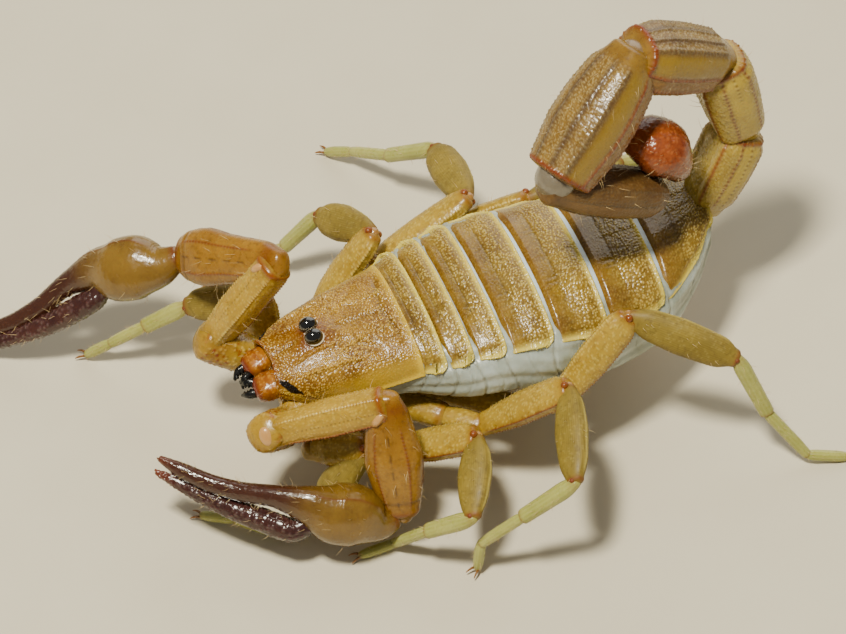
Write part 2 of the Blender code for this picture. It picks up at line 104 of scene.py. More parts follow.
def paint(colour):
    """A colour given on the 0 to 255 scale, turned to the linear scale shaders use."""
    share = np.array(colour) / 255.0
    linear = np.where(share <= 0.04045, share / 12.92, ((share + 0.055) / 1.055) ** 2.4)
    return (*linear, 1.0)


class Finish:
    """A material under construction, with short calls for the few nodes the model uses."""

    def __init__(self, name):
        self.material = bpy.data.materials.new(name)
        self.material.use_nodes = True
        self.tree = self.material.node_tree
        self.shader = self.tree.nodes["Principled BSDF"]
        self.place = self.tree.nodes.new("ShaderNodeTexCoord").outputs["Object"]

    def fill(self, node, values):
        """Feed or set a node's sockets by name; an underscore stands for a space."""
        for name, value in values.items():
            socket = node.inputs[name.replace("_", " ")]
            if isinstance(value, bpy.types.NodeSocket):
                self.tree.links.new(value, socket)
            else:
                socket.default_value = value

    def set(self, **values):
        """Feed or set the shader's own sockets."""
        self.fill(self.shader, values)

    def add(self, kind, result, **values):
        """A new node with its sockets filled, and the socket of its result."""
        node = self.tree.nodes.new("ShaderNode" + kind)
        if kind == "Mix":
            node.data_type = "RGBA"
        self.fill(node, values)
        return node.outputs[result]

    def noise(self, size, detail=2.0, rough=0.55):
        """Cloudy noise whose blots are about `size` millimetres across."""
        return self.add("TexNoise", "Fac", Vector=self.place, Scale=1.0 / (size * MM), Detail=detail,
                        Roughness=rough)

    def mark(self, name):
        """A mask that the mesh carries, from 0 to 1."""
        found = self.add("Attribute", "Fac")
        found.node.attribute_name = name
        return found

    def stretch(self, value, low, high, out_low=0.0, out_high=1.0):
        """A value moved from one range to another and held inside it."""
        return self.add("MapRange", "Result", Value=value, From_Min=low, From_Max=high, To_Min=out_low,
                        To_Max=out_high)

    def mix(self, share, first, second):
        """Two colours mixed by a share; each is a socket or three numbers for paint()."""
        first, second = (paint(one) if isinstance(one, tuple) else one for one in (first, second))
        return self.add("Mix", "Result", Factor=share, A=first, B=second)

    def bump(self, height, strength, depth):
        """Fine relief of a height, `depth` millimetres deep, on to the shader's normal."""
        self.set(Normal=self.add("Bump", "Normal", Strength=strength, Distance=depth * MM, Height=height))


def build(name, coords, corners, sizes, finish):
    """A smooth object from points in metres, the corners of all faces, and how many each has."""
    mesh = bpy.data.meshes.new(name)
    mesh.vertices.add(len(coords))
    mesh.vertices.foreach_set("co", np.ravel(coords))
    mesh.loops.add(len(corners))
    mesh.loops.foreach_set("vertex_index", np.array(corners, np.int32))
    mesh.polygons.add(len(sizes))
    mesh.polygons.foreach_set("loop_start", (np.cumsum(sizes) - sizes).astype(np.int32))
    mesh.update(calc_edges=True)
    mesh.validate()
    mesh.shade_smooth()
    mesh.materials.append(finish.material)
    thing = bpy.data.objects.new(name, mesh)
    bpy.context.scene.collection.objects.link(thing)
    return thing


board_finish = Finish("board_paint")
board_finish.set(Base_Color=board_finish.mix(board_finish.noise(6.0, 4.0), (206, 196, 172),
                                             (216, 207, 184)), Roughness=0.85)
board_corners = np.array(((-1, -1, 0), (1, -1, 0), (1, 1, 0), (-1, 1, 0))) * FLOOR_HALF * MM
build("board", board_corners, range(4), [4], board_finish)


# ---- Head plate ----
# One shield of tanned, granular shell over the head, with a raised mound that carries the middle
# eyes, a furrow down its middle and a rolled yellow rim; it sits on the soft skin of the trunk.
SIDES = 12                         # corners of every ring of a solid in the frame
TRUNK_EASE = 0.35
TRUNK_POWER = 2.5
WIDEST_LINE = 0.35                 # height of the widest line, from belly to back
HEAD_EDGE = ((-0.3, 15.0), (2.0, 9.0), (4.2, -6.0), (5.6, -24.0), (7.1, -30.0))  # (x, angle) of its sides
HEAD_ROWS, HEAD_ACROSS, HEAD_THICK = 236, 296, 0.16


def rings_of(node, near):
    """The rings of points that a tube in the frame is made of, from the end nearest a place.

    The tube's loose triangles are merged in a copy.  Each end has one point joined to a whole
    ring; from there every ring is the set of points next to the last one."""
    copy = bmesh.new()
    copy.from_mesh(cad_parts[node].data)
    bmesh.ops.remove_doubles(copy, verts=copy.verts, dist=2e-6)
    points = np.array([v.co[:] for v in copy.verts]) / MM - HOME
    beside = [{e.other_vert(v).index for e in v.link_edges} for v in copy.verts]
    copy.free()
    poles = [k for k, others in enumerate(beside) if len(others) == SIDES]
    first = min(poles, key=lambda k: np.linalg.norm(points[k] - near))
    seen, ring, rings = {first}, beside[first], []
    while len(ring) > 1:
        rings.append(points[sorted(ring)])
        seen |= ring
        ring = set().union(*(beside[k] for k in ring)) - seen
    return rings


def eased(at, places, values, width):
    """A table read by straight lines, then rounded off by a weighted mean over +-2 widths."""
    steps = np.linspace(-2, 2, 9)
    weights = np.exp(-steps ** 2)
    found = [np.interp(at + step * width, places, values) for step in steps]
    return np.tensordot(weights / weights.sum(), np.array(found), axes=1)


def evenly(rows, count):
    """Each row of points laid out again at equal steps along its own length."""
    step = np.linalg.norm(np.diff(rows, axis=1), axis=2)
    gone = np.concatenate([np.zeros((len(rows), 1)), np.cumsum(step, axis=1)], axis=1)
    share = np.linspace(0, 1, count)
    return np.stack([np.column_stack([np.interp(share * g[-1], g, row[:, k]) for k in range(3)])
                     for g, row in zip(gone, rows)])


trunk_table = []
for trunk_node in ("carapace", *(f"mesosoma_{k}" for k in range(1, 8))):
    for ring in rings_of(trunk_node, 20 * FORWARD + 6 * UP):
        low, high = ring.min(axis=0), ring.max(axis=0)
        trunk_table.append((ring[:, 0].mean(), (high[1] - low[1]) / 2, (high[1] + low[1]) / 2,
                            low[2], high[2]))
trunk_table = np.array(sorted(trunk_table)).T


def hoops(x, start, end, count):
    """Cross-sections of the trunk at each x, from angle start to angle end over the back.

    Each is a superellipse, |y/a|^p + |z/b|^p = 1, in polar form round its widest line; angles
    are in degrees from the animal's left, upwards positive."""
    half, middle, belly, back = (eased(x, trunk_table[0], row, TRUNK_EASE)[:, None]
                                 for row in trunk_table[1:])
    line = belly + WIDEST_LINE * (back - belly)
    start, end = (np.broadcast_to(value, x.shape)[:, None] for value in (start, end))
    angle = np.radians(start + (end - start) * np.linspace(0, 1, 400))
    c, s = np.cos(angle), np.sin(angle)
    high = np.where(s > 0, back - line, line - belly)
    reach = (np.abs(c / half) ** TRUNK_POWER + np.abs(s / high) ** TRUNK_POWER) ** (-1 / TRUNK_POWER)
    rows = np.stack([np.broadcast_to(x[:, None], c.shape), middle + reach * c, line + reach * s], -1)
    return evenly(rows, count)


def outward(grid, wraps=False):
    """Unit normals of a grid: the cross product of its two directions, away from its middle."""
    around = np.gradient(grid, axis=1)
    if wraps:
        around = np.roll(grid, -1, axis=1) - np.roll(grid, 1, axis=1)
    normal = np.cross(np.gradient(grid, axis=0), around)
    normal /= np.maximum(np.linalg.norm(normal, axis=2, keepdims=True), 1e-9)
    return normal * np.sign((normal * (grid - grid.mean(axis=1, keepdims=True))).sum())


def shield(x, start, end, count):
    """Open hoops with, for every point, its share across (1 to -1) and its share back (0 to 1)."""
    side, back = np.meshgrid(np.linspace(1, -1, count), np.arange(len(x)) / (len(x) - 1))
    return hoops(x, start, end, count), side, back


def lengths(grid):
    """Distance travelled along a grid's stations and along its rows, from its middle lines."""
    along = np.linalg.norm(np.diff(grid, axis=0), axis=2).mean(axis=1)
    around = np.linalg.norm(np.diff(grid, axis=1), axis=2)
    u = np.concatenate([[0], np.cumsum(along)])[:, None] * np.ones((1, grid.shape[1]))
    v = np.concatenate([np.zeros((len(grid), 1)), np.cumsum(around, axis=1)], axis=1)
    return u, v - v[:, grid.shape[1] // 2][:, None]


def chance(i, j, seed):
    """A repeatable number from 0 to 1 for each cell of a lattice, mixed from whole numbers."""
    mixed = (i.astype(np.int64) * 73856093) ^ (j.astype(np.int64) * 19349663) ^ (seed * 83492791)
    mixed = (mixed & 0x7FFFFFFF) * 1274126177
    mixed = ((mixed >> 11) & 0x7FFFFFFF) * 69069
    return ((mixed >> 9) & 0xFFFF) / 65535.0


def beads(u, v, cell, seed, share=1.0, turn_cells=0):
    """Heights, 0 to 1, of round granules on a jittered lattice of cells.

    Each cell keeps its granule with the chance `share`; a granule is 1 - (d/r)^2 at the distance
    d from its middle.  turn_cells is the number of cells round a tube, so the pattern meets."""
    u, v = u / cell, v / cell
    i, j = np.floor(u), np.floor(v)
    height = np.zeros(u.shape)
    for a, b in ((i + di, j + dj) for di in (-1, 0, 1) for dj in (-1, 0, 1)):
        key = b % turn_cells if turn_cells else b
        middle_u = a + 0.5 + 0.75 * (chance(a, key, seed) - 0.5)
        middle_v = b + 0.5 + 0.75 * (chance(a, key, seed + 1) - 0.5)
        reach = 0.30 + 0.20 * chance(a, key, seed + 2)
        bump = 1 - ((u - middle_u) ** 2 + (v - middle_v) ** 2) / reach ** 2
        height = np.maximum(height, np.where(chance(a, key, seed + 3) < share, bump, 0))
    return height


def bell(value, middle, width):
    """exp(-((value - middle)/width)^2): a smooth ridge round a middle."""
    return np.exp(-((value - middle) / width) ** 2)


def step_up(value, low, high):
    """Smoothstep: 0 below low, 1 above high, 3t^2 - 2t^3 between."""
    t = np.clip((value - low) / (high - low), 0, 1)
    return t * t * (3 - 2 * t)


def span(value, low, rise, fall, high):
    """1 between rise and fall, 0 outside low and high, smooth between."""
    return step_up(value, low, rise) * step_up(-value, -high, -fall)


def held(value):
    """A value held between 0 and 1."""
    return np.clip(value, 0, 1)


def as_plate(top, marks, thickness):
    """Close an open shield: its line is read at a few places and goes back below it, inward."""
    pick = np.linspace(top.shape[1] - 1, 0, 9).round().astype(int)
    under = top[:, pick] - outward(top)[:, pick] * thickness
    marks = {k: np.concatenate([v, v[:, pick]], axis=1) for k, v in marks.items()}
    return np.concatenate([top, under], axis=1), marks, pick


def rungs(ring, pick):
    """Triangles that close a thin band whose ring runs along its top and back under it.

    pick[q] is the top point above under point q.  Each top edge is joined to the nearest under
    point, and each under edge to the top point where the nearest one changes."""
    top = len(ring) - len(pick)
    edge, under = np.arange(top - 1), np.arange(len(pick) - 1)
    near = np.abs(pick[None, :] - edge[:, None] - 0.5).argmin(axis=1)
    switch = (near[:, None] == under).argmax(axis=0)
    return np.concatenate([np.stack([ring[edge], ring[edge + 1], ring[top + near]], -1),
                           np.stack([ring[top + under], ring[top + under + 1], ring[switch]], -1)])


def make_piece(name, tubes, finish, slot, *nodes):
    """One object from closed tubes; it rides on the model and stands for the named solids.

    A tube is its points, stations by points round, its marks, and for a plate the picks that
    rungs() reads; other tubes end in a fan round a middle point.  marks are masks by name, one
    number or one for every point.  A tube that comes out inside out is turned."""
    coords, faces, base = [], [], 0
    masks = {mark: [] for tube in tubes for mark in tube[1]}
    for points, marks, *picks in tubes:
        n, m = points.shape[:2]
        index = base + np.arange(n * m).reshape(n, m)
        after = np.roll(index, -1, axis=1)
        quads = np.stack([index[:-1], index[1:], after[1:], after[:-1]], -1).reshape(-1, 4)
        flat = points.reshape(-1, 3)
        a, b, c, d = (flat[quads[:, k] - base] - flat.mean(axis=0) for k in range(4))
        turned = (a * np.cross(b, c)).sum() + (a * np.cross(c, d)).sum() < 0
        faces.append(quads[:, ::-1] if turned else quads)
        ends = () if picks else (0, -1)
        for end in (0, -1):
            pole = base + n * m - end
            cap = np.stack([index[end], after[end], np.full(m, pole)], -1)
            if picks:
                cap = rungs(index[end], picks[0])
            faces.append(cap if (end == -1) == turned else cap[:, ::-1])
        coords.append(np.vstack([flat, *(points[end].mean(axis=0) for end in ends)]))
        for mark, runs in masks.items():
            values = np.broadcast_to(marks.get(mark, 0.0), (n, m))
            runs.append(np.append(values, [values[end].mean() for end in ends]))
        base += len(coords[-1])
    sizes = np.concatenate([np.full(len(f), f.shape[1]) for f in faces])
    corners = np.concatenate([f.ravel() for f in faces])
    thing = build(name, (np.concatenate(coords) + HOME) * MM, corners, sizes, finish)
    for mark, runs in masks.items():
        layer = thing.data.attributes.new(mark, "FLOAT", "POINT")
        layer.data.foreach_set("value", held(np.concatenate(runs)))
    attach(thing, "root")
    if nodes:
        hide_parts(*nodes)


def shell_finish(name, ground, cloud, tip, pale, dark, red, rough=0.34, coat=0.16, speck=0.35):
    """Tanned shell: clouded ground colour, darker specks, light granule tips, and masks for its
    pale rims, dark keels and red-brown joints, over a fine grain and a thin gloss.  Some pieces
    also use the dark and red masks for painted shade in hollows and underneath."""
    f = Finish(name)
    colour = f.mix(f.stretch(f.noise(1.5, 3.0), 0.35, 0.65), ground, cloud)
    colour = f.mix(f.stretch(f.noise(0.22, 2.0), 0.52, 0.68, 0.0, speck), colour, dark)
    colour = f.mix(f.stretch(f.mark("bead"), 0.0, 1.0, 0.0, 0.58), colour, tip)
    for mark, tone in (("pale", pale), ("dark", dark), ("red", red)):
        colour = f.mix(f.mark(mark), colour, tone)
    f.set(Base_Color=colour, Roughness=f.stretch(f.noise(0.5, 2.0), 0.3, 0.7, rough - 0.08, rough + 0.10),
          Subsurface_Weight=0.18, Subsurface_Radius=(1.0, 0.55, 0.16), Subsurface_Scale=0.4 * MM,
          Coat_Weight=coat, Coat_Roughness=0.14, IOR=1.45)
    f.bump(f.noise(0.10, 3.0, 0.6), 0.5, 0.02)
    return f


head_x = np.linspace(6.78, -0.10, HEAD_ROWS)
head_edge = np.interp(head_x, *np.array(HEAD_EDGE).T)
head, side, back = shield(head_x, head_edge, 180 - head_edge, HEAD_ACROSS)
wide = np.abs(side)
# the front edge is notched in the middle and rounds back at its corners
head[..., 0] -= (0.26 * bell(side, 0, 0.36) + 0.55 * wide ** 5) * (1 - back) ** 2.5
x, y, z = head[..., 0], head[..., 1], head[..., 2]
off = np.abs(y)
furrow = bell(y, 0, 0.15) * (span(x, 4.9, 5.3, 6.2, 6.7) + span(x, 0.7, 1.2, 2.8, 3.4))
mound = bell(x, 4.25, 0.85) * bell(y, 0, 0.70)
between_eyes = bell(x, 4.37, 0.40) * bell(y, 0, 0.12)
valley = bell(off, 0.65 + 0.62 * (3.6 - x), 0.22) * span(x, 1.2, 1.8, 2.9, 3.4)
cross_valley = bell(x - 0.75 + 0.18 * off, 0, 0.14) * step_up(-off, -2.4, -1.6)
# beaded keels: distance from the middle line, and where each starts and ends
keels = ((0.90 + 0.10 * (x - 4.3) ** 2, (3.0, 3.4, 5.2, 5.9)),
         (1.15 + 0.25 * (x - 2.4), (1.4, 1.8, 3.0, 3.5)), (1.02, (0.15, 0.4, 1.1, 1.5)),
         (1.75 + 0.12 * (5.2 - x), (2.2, 2.8, 5.0, 5.6)))
keel = np.max([bell(off, line, 0.09) * span(x, *run) for line, run in keels], axis=0)
u, v = lengths(head)
coarse, fine = beads(u, v, 0.128, 11, 0.78), beads(u, v, 0.085, 23, 0.9)
row = beads(u, v, 0.15, 37) * keel
calm = (1 - 0.85 * bell(x, 4.37, 0.66) * bell(y, 0, 0.85)) * (1 - 0.70 * step_up(wide, 0.64, 0.80))
calm *= 0.55 + 0.45 * step_up(np.sin(1.9 * x + 1.3 * off) + np.sin(2.7 * off - 0.8 * x), -1.2, 0.4)
rim = np.max([bell(back, 1.0, 0.022), bell(back, 0.0, 0.016), bell(wide, 1, 0.035)], axis=0)
height = (0.44 * mound - 0.10 * between_eyes - 0.09 * furrow - 0.11 * valley - 0.08 * cross_valley
          + 0.06 * keel + 0.085 * row + calm * (0.040 * coarse + 0.016 * fine) + 0.050 * rim)
bead = held(np.maximum(calm * coarse, row) * 0.9 + 0.25 * fine * calm)
pale = held(0.85 * bell(back, 1.0, 0.032) + 0.75 * bell(wide, 1.0, 0.05)
            + 0.45 * step_up(wide, 0.60, 0.85)) * (1 - 0.3 * bead)
# dark: the eye mound's own dark patch; in the middle furrow and the cross valley it is painted shade
dark = held(0.60 * bell(x, 4.40, 0.55) * bell(off, 0.15, 0.40) + 0.20 * furrow
            + 0.25 * cross_valley) * (1 - bead * 0.5)
red = held(0.5 * bell(back, 0.0, 0.03) + 0.75 * bell(x, 4.37, 0.80) * bell(off, 0.35, 0.62)
           + 0.20 * (1 - bead) * step_up(x, 4.0, 6.5))
# the black patch of small side eyes, with a pale line below it
patch_line = z - 6.66 - 0.42 * (x - 6.22)
patch = (np.hypot((x - 6.12) / 0.44, (patch_line + 0.04) / 0.21) + 0.10 * np.sin(11 * x)
         + 0.06 * np.sin(23 * x))
patch = step_up(-patch, -1.1, -0.9) * (off > 1.0)
under_patch = 0.85 * bell(patch_line, -0.38, 0.10) * bell(x, 6.0, 0.8) * (off > 1.0)
marks = dict(bead=bead * (1 - patch), pale=np.maximum(pale * (1 - patch), under_patch),
             dark=np.maximum(dark, patch), red=red * (1 - patch))
HEAD_SHELL = shell_finish("head_shell", (108, 68, 8), (142, 102, 20), (246, 206, 96), (206, 172, 52),
                          (16, 10, 8), (112, 46, 8), rough=0.24)
head += outward(head) * height[..., None]
make_piece("carapace_shell", [as_plate(head, marks, HEAD_THICK)], HEAD_SHELL, "shell_amber", "carapace")


# ---- Middle eyes ----
# Two black, glassy domes set side by side on the mound of the head plate.  Each sits in a thin
# pale socket that shows as a bright crescent on its outer rear side; the near-white crescent is
# partly the socket's own pale rim and partly a painted highlight.
HANDS = (("left", 1), ("right", -1))
EYE_HALF = 0.47
EYE_SHAPE = np.array((1.0, 0.86, 0.95))
EYE_RISE = -0.03                   # the dome's middle, above the solid eye's own middle
eye_glass = Finish("eye_glass")
eye_glass.set(Base_Color=paint((8, 7, 6)), Roughness=0.06, Coat_Weight=1.0, Coat_Roughness=0.02, IOR=1.6)
# near-white socket colour: the rim's own pale colour, and on its thick outer rear side a painted highlight
# crescent
socket_rim_and_highlight = Finish("eye_socket_and_highlight")
socket_rim_and_highlight.set(Base_Color=socket_rim_and_highlight.mix(socket_rim_and_highlight.noise(0.08), (240, 226, 196), (214, 190, 140)),
                Roughness=0.3, Coat_Weight=0.6)


def square_to(vector, axis):
    """The part of a direction that is square to an axis, at length one."""
    return unit(vector - axis * (vector @ axis))


def spokes(count):
    """Cosines and sines of equal steps round a circle."""
    angle = 2 * np.pi * np.arange(count) / count
    return np.cos(angle), np.sin(angle)


def ball(centre, axis, start, sizes, low, high, rows, count):
    """An ellipsoid between two latitudes: sizes along its axis, along start and across both."""
    axis = unit(axis)
    first = square_to(start, axis)
    tilt = np.radians(np.linspace(low, high, rows))[:, None, None]
    c, s = (one[None, :, None] for one in spokes(count))
    ring = c * sizes[1] * first + s * sizes[2] * np.cross(axis, first)
    return centre + np.sin(tilt) * sizes[0] * axis + np.cos(tilt) * ring


for word, hand in HANDS:
    low, high = (np.array(corner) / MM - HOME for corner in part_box(f"eye_{word}"))
    middle = (low + high) / 2 + np.array((0.0, 0.02 * hand, EYE_RISE))
    axis = unit(UP + 0.45 * hand * LEFT)
    dome = ball(middle, axis, FORWARD, (EYE_HALF,) * 3, -50, 88, 28, 48)
    make_piece(f"eye_{word}_lens", [(middle + (dome - middle) * EYE_SHAPE, {})], eye_glass, "eye",
               f"eye_{word}")
    # the socket is a ring whose thickness swells on the outer rear side, where its near-white colour is
    # partly a painted highlight
    outer = np.cross(axis, FORWARD) * hand
    c, s = (one[:, None] for one in spokes(72))
    spoke = c * FORWARD + s * outer
    swell = 0.003 + 0.040 * step_up(spoke @ unit(outer - 0.60 * FORWARD), 0.20, 0.80)
    c, s = (one[None, :, None] for one in spokes(10))
    torus = ((middle + spoke * EYE_HALF * EYE_SHAPE * 1.04 + axis * 0.03)[:, None]
             + (c * spoke[:, None] + s * axis) * swell[:, None, None])
    make_piece(f"eye_{word}_socket", [(np.concatenate([torus, torus[:1]]), {})], socket_rim_and_highlight, "comb_pale")


# ---- Back plates ----
# Seven plates cross the back, each tucked under the one before it.  They are thin tanned shell,
# smooth in front and granular behind, with a rolled yellow border and rounded rear corners.
PLATE_EDGE = ((-16.4, 22.0), (-12.5, 22.0), (-9.3, 23.0), (-6.5, 23.5), (-4.1, 19.5),
              (-2.5, 20.5), (-1.2, 18.0), (0.0, 15.5))
# rear edge, strip of soft skin left bare in front, points along, points across
PLATES = ((-1.2, -0.20, 48, 210), (-2.5, -0.14, 50, 220), (-4.1, -0.02, 54, 230), (-6.5, 0.06, 72, 240),
          (-9.3, 0.14, 80, 240), (-12.5, 0.20, 88, 230), (-16.35, 0.22, 96, 210))
PLATE_THICK = 0.12                 # of the back's and the belly's plates
PLATE_TUCK = 0.22                  # how deep a plate's front edge lies below its own face
PLATE_RISE = 0.36                  # over how long it comes up
BACK_SHELL = shell_finish("back_shell", (110, 80, 16), (140, 110, 30), (246, 218, 120), (218, 194, 84),
                          (48, 32, 12), (120, 60, 20), rough=0.26, coat=0.30)
front_x = 0.0
for number, (rear_x, bare, count, wide) in enumerate(PLATES, start=1):
    run = np.linspace(front_x - bare, rear_x, count)
    edge = np.interp(run, *np.array(PLATE_EDGE).T)
    plate, side, back = shield(run, edge, 180 - edge, wide)
    out = outward(plate)
    u, v = lengths(plate)
    off, part = np.abs(v), u / u[-1, 0]
    in_from_side = off[:, :1] * (1 - np.abs(side))
    # rear corners round off over this distance, and the bare strip narrows to the sides
    corner = 0.55 if number > 2 else 0.40
    curve = corner * (1 - np.sqrt(held(1 - held(1 - in_from_side / corner) ** 2)))
    plate[..., 0] += curve * back ** 2 + 0.8 * bare * np.abs(side) ** 3 * (1 - back) ** 2
    rear = u[-1, 0] - u + curve * 0.3
    rough_part = 0.25 + 0.75 * step_up(part + 0.05 * np.sin(v * 2.2), 0.28, 0.60)
    coarse, fine = beads(u, v, 0.140, 40 + number, 0.80), beads(u, v, 0.095, 60 + number, 0.9)
    border = np.maximum(bell(rear, 0.05, 0.10), bell(in_from_side, 0.03, 0.10))
    border_beads = beads(np.full_like(u, 0.5), v, 0.14, 80 + number) * bell(rear, 0.10, 0.07)
    crease = bell(part, 0.40, 0.03) * step_up(-off, -3.4, -2.2)
    pits = (bell(off, 1.45, 0.09) + bell(off, 1.75, 0.07)) * bell(part, 0.33, 0.13)
    keel = bell(v, 0.0, 0.10)
    if number == len(PLATES):
        keel = np.max([keel, *(bell(off, at * (1 - 0.35 * back), 0.10) for at in (0.95, 2.1))], axis=0)
    flange = bell(in_from_side, 0.40, 0.16) * step_up(back, 0.2, 0.5)
    height = (PLATE_TUCK * (step_up(u, 0.0, PLATE_RISE) - 1) + 0.10 * bell(part, 0.72, 0.25) + 0.06 * border
              + rough_part * (0.036 * coarse + 0.015 * fine + 0.04 * keel * (0.5 + coarse))
              - 0.022 * crease - 0.022 * pits - 0.05 * flange + 0.03 * border_beads)
    bead = held(rough_part * (0.85 * coarse + 0.2 * fine) + 0.6 * border_beads)
    pale = held(0.95 * bell(rear, 0.06, 0.15) + 0.85 * bell(in_from_side, 0.05, 0.15)
                + 0.35 * step_up(-in_from_side, -0.5, -0.2))
    blotch = bell(off, 1.0, 0.75) * bell(part, 0.45, 0.35) + 0.5 * bell(v, 0, 0.25)
    # dark: blotches of the plate's own colour, and painted shade in the crease and the pits
    dark = held(0.26 * blotch + 0.20 * crease + 0.15 * pits) * (1 - pale) * (1 - 0.6 * bead)
    marks = dict(bead=bead, pale=pale, dark=dark, red=0.25 * bell(back, 0, 0.2))
    make_piece(f"back_plate_{number}", [as_plate(plate + out * height[..., None], marks, PLATE_THICK)],
               BACK_SHELL, "shell_trunk", f"mesosoma_{number}")
    front_x = rear_x


# ---- Soft skin of the trunk ----
# One bag of grey, slightly see-through skin under all the plates; it shows as folded flanks
# between back and belly, and as bright strips between the back plates.
SKIN_ROWS, SKIN_ROUND = 330, 240
SKIN_UNDER = 0.17
skin = hoops(np.linspace(6.4, -16.25, SKIN_ROWS), -90.0, 270.0, SKIN_ROUND + 1)[:, :-1]
middle = skin.mean(axis=1, keepdims=True)
turn = np.degrees(np.arctan2(skin[..., 2] - middle[..., 2], skin[..., 1] - middle[..., 1]))
turn = np.where(turn < -90, turn + 360, turn)
from_side = np.minimum(np.abs(turn), np.abs(180 - turn))
x = skin[..., 0]
flank = step_up(-from_side, -34, -14) * step_up(-x, -1.2, 0.8)
seams = np.array([0.0] + [row[0] for row in PLATES])
crease = sum(bell(x + 0.25 * np.sin(turn / 9.0 + k), at, 0.055) for k, at in enumerate(seams))
half_crease = sum(bell(x + 0.3 * np.sin(turn / 7.0 + k), at, 0.035)
                  for k, at in enumerate((seams[:-1] + seams[1:]) / 2))
fold = (np.sin(turn * 0.36 + 1.6 * np.sin(x * 0.55)) * 0.6
        + 0.4 * np.sin(turn * 0.8 + 2.6 * np.sin(x * 0.8 + 1)))
wrinkle = beads(x * 2.2, turn * 0.05, 0.24, 101, 0.9)
height = flank * (0.16 + 0.060 * fold - 0.09 * crease - 0.045 * half_crease + 0.022 * wrinkle) - SKIN_UNDER
taper = 0.80 + 0.20 * span(x, -16.25, -15.9, 5.6, 6.4)
# crease: the skin is painted darker along its creases, as shade
marks = dict(strip=step_up(from_side, 30, 44), crease=flank * (0.4 * crease + 0.15 * half_crease),
             mouth=step_up(x, 4.2, 5.2))
skin = middle + (skin + outward(skin, wraps=True) * height[..., None] - middle) * taper[..., None]
skin_finish = Finish("soft_skin")
skin_colour = skin_finish.mix(skin_finish.stretch(skin_finish.noise(1.6, 3.0), 0.35, 0.65),
                              (150, 156, 140), (182, 190, 182))
# the crease tone is painted shade in the folds
for mark, tone in (("strip", (206, 220, 224)), ("crease", (140, 134, 104)), ("mouth", (84, 46, 16))):
    skin_colour = skin_finish.mix(skin_finish.mark(mark), skin_colour, tone)
skin_finish.set(Base_Color=skin_colour, Roughness=0.38, Subsurface_Weight=0.5,
                Subsurface_Radius=(1.0, 0.8, 0.6), Subsurface_Scale=0.7 * MM,
                Coat_Weight=0.35, Coat_Roughness=0.2)
skin_finish.bump(skin_finish.noise(0.14, 3.0, 0.6), 0.4, 0.02)
make_piece("trunk_skin", [(skin, marks)], skin_finish, "comb_pale")


# ---- Tail segments ----
# Five boxy tubes of thick shell, hinged end to end and arched over the back.  Beaded keels run
# along each one, dark under and red-brown above, with smooth oval faces between them.
# each segment: its back, upper, lower and under keel in degrees from the back of the tail, the
# pitch of their beads, how strongly they stand out, bristles, and the number of its shell
TAIL = ((40, 76, 128, 162, 0.26, 0.30, 20, 0), (40, 76, 128, 162, 0.26, 0.34, 24, 0),
        (62, 92, 146, 168, 0.24, 1.00, 30, 1), (46, 80, 132, 163, 0.25, 1.00, 40, 1),
        (40, 76, 128, 162, 0.20, 0.45, 26, 2))
# the skin behind each of the first four: its size for the rim's, how far back, its tint
TAIL_JOINTS = ((0.82, 0.0, 0.0), (0.82, 0.0, 0.1), (0.68, 0.0, -0.55), (0.72, 0.22, -0.9))
FOURTH_CUT = 0.75                  # the fourth segment stops short of its hinge, which gapes
TAIL_SHELLS = (
    shell_finish("tail_shell_fore", (150, 122, 36), (176, 150, 60), (250, 232, 150), (196, 168, 62),
                 (80, 40, 14), (118, 44, 14), rough=0.28),
    shell_finish("tail_shell_mid", (116, 84, 26), (142, 108, 40), (244, 224, 160), (146, 116, 28),
                 (70, 50, 38), (118, 38, 12), rough=0.26),
    shell_finish("tail_shell_dark", (88, 60, 28), (108, 78, 36), (160, 132, 84), (124, 88, 38),
                 (48, 34, 20), (90, 44, 18), rough=0.38, coat=0.1),
)
joint_balls = []                   # (centre, axis, side, long, deep, thick, tint), pale or -grey
hair_beds = []                     # (points of a tube, how many hairs, their length)


def centre_of(ring):
    """The mean of a ring's points."""
    return ring.mean(axis=0)


def hinge(rings, following):
    """Where two articles bend: midway between the nearest points of their middle lines."""
    a, b, c, d = (centre_of(ring) for ring in (rings[0], rings[-1], following[0], following[-1]))
    first, second = unit(b - a), unit(d - c)
    slope = first @ second
    if slope > 0.996:
        return (b + c) / 2
    gap = c - a
    s = (gap @ first - slope * (gap @ second)) / (1 - slope ** 2)
    t = (slope * (gap @ first) - gap @ second) / (1 - slope ** 2)
    return (a + first * s + c + second * t) / 2


def sizes_of(rings, start, axis, side):
    """Distance from the start, half depth and half thickness of each ring of a solid."""
    up = np.cross(axis, side)
    return [((centre_of(ring) - start) @ axis, np.abs((ring - centre_of(ring)) @ up).max(),
             np.abs((ring - centre_of(ring)) @ side).max()) for ring in rings]


def tapered(found, fore, rear, length, kept=slice(None), first=None):
    """A table of sizes with extra rings at both ends, as shares of the first or last size.

    fore holds (distance, share of depth, share of thickness); rear counts from the length."""
    (deep, thick), (far_deep, far_thick) = first or found[0][1:], found[-1][1:]
    return sorted([(at, deep * p, thick * q) for at, p, q in fore] + found[kept]
                  + [(length + at, far_deep * p, far_thick * q) for at, p, q in rear])


def run_of(line):
    """Distance gone along a line at each of its points."""
    return np.concatenate([[0], np.cumsum(np.linalg.norm(np.diff(line, axis=0), axis=1))])


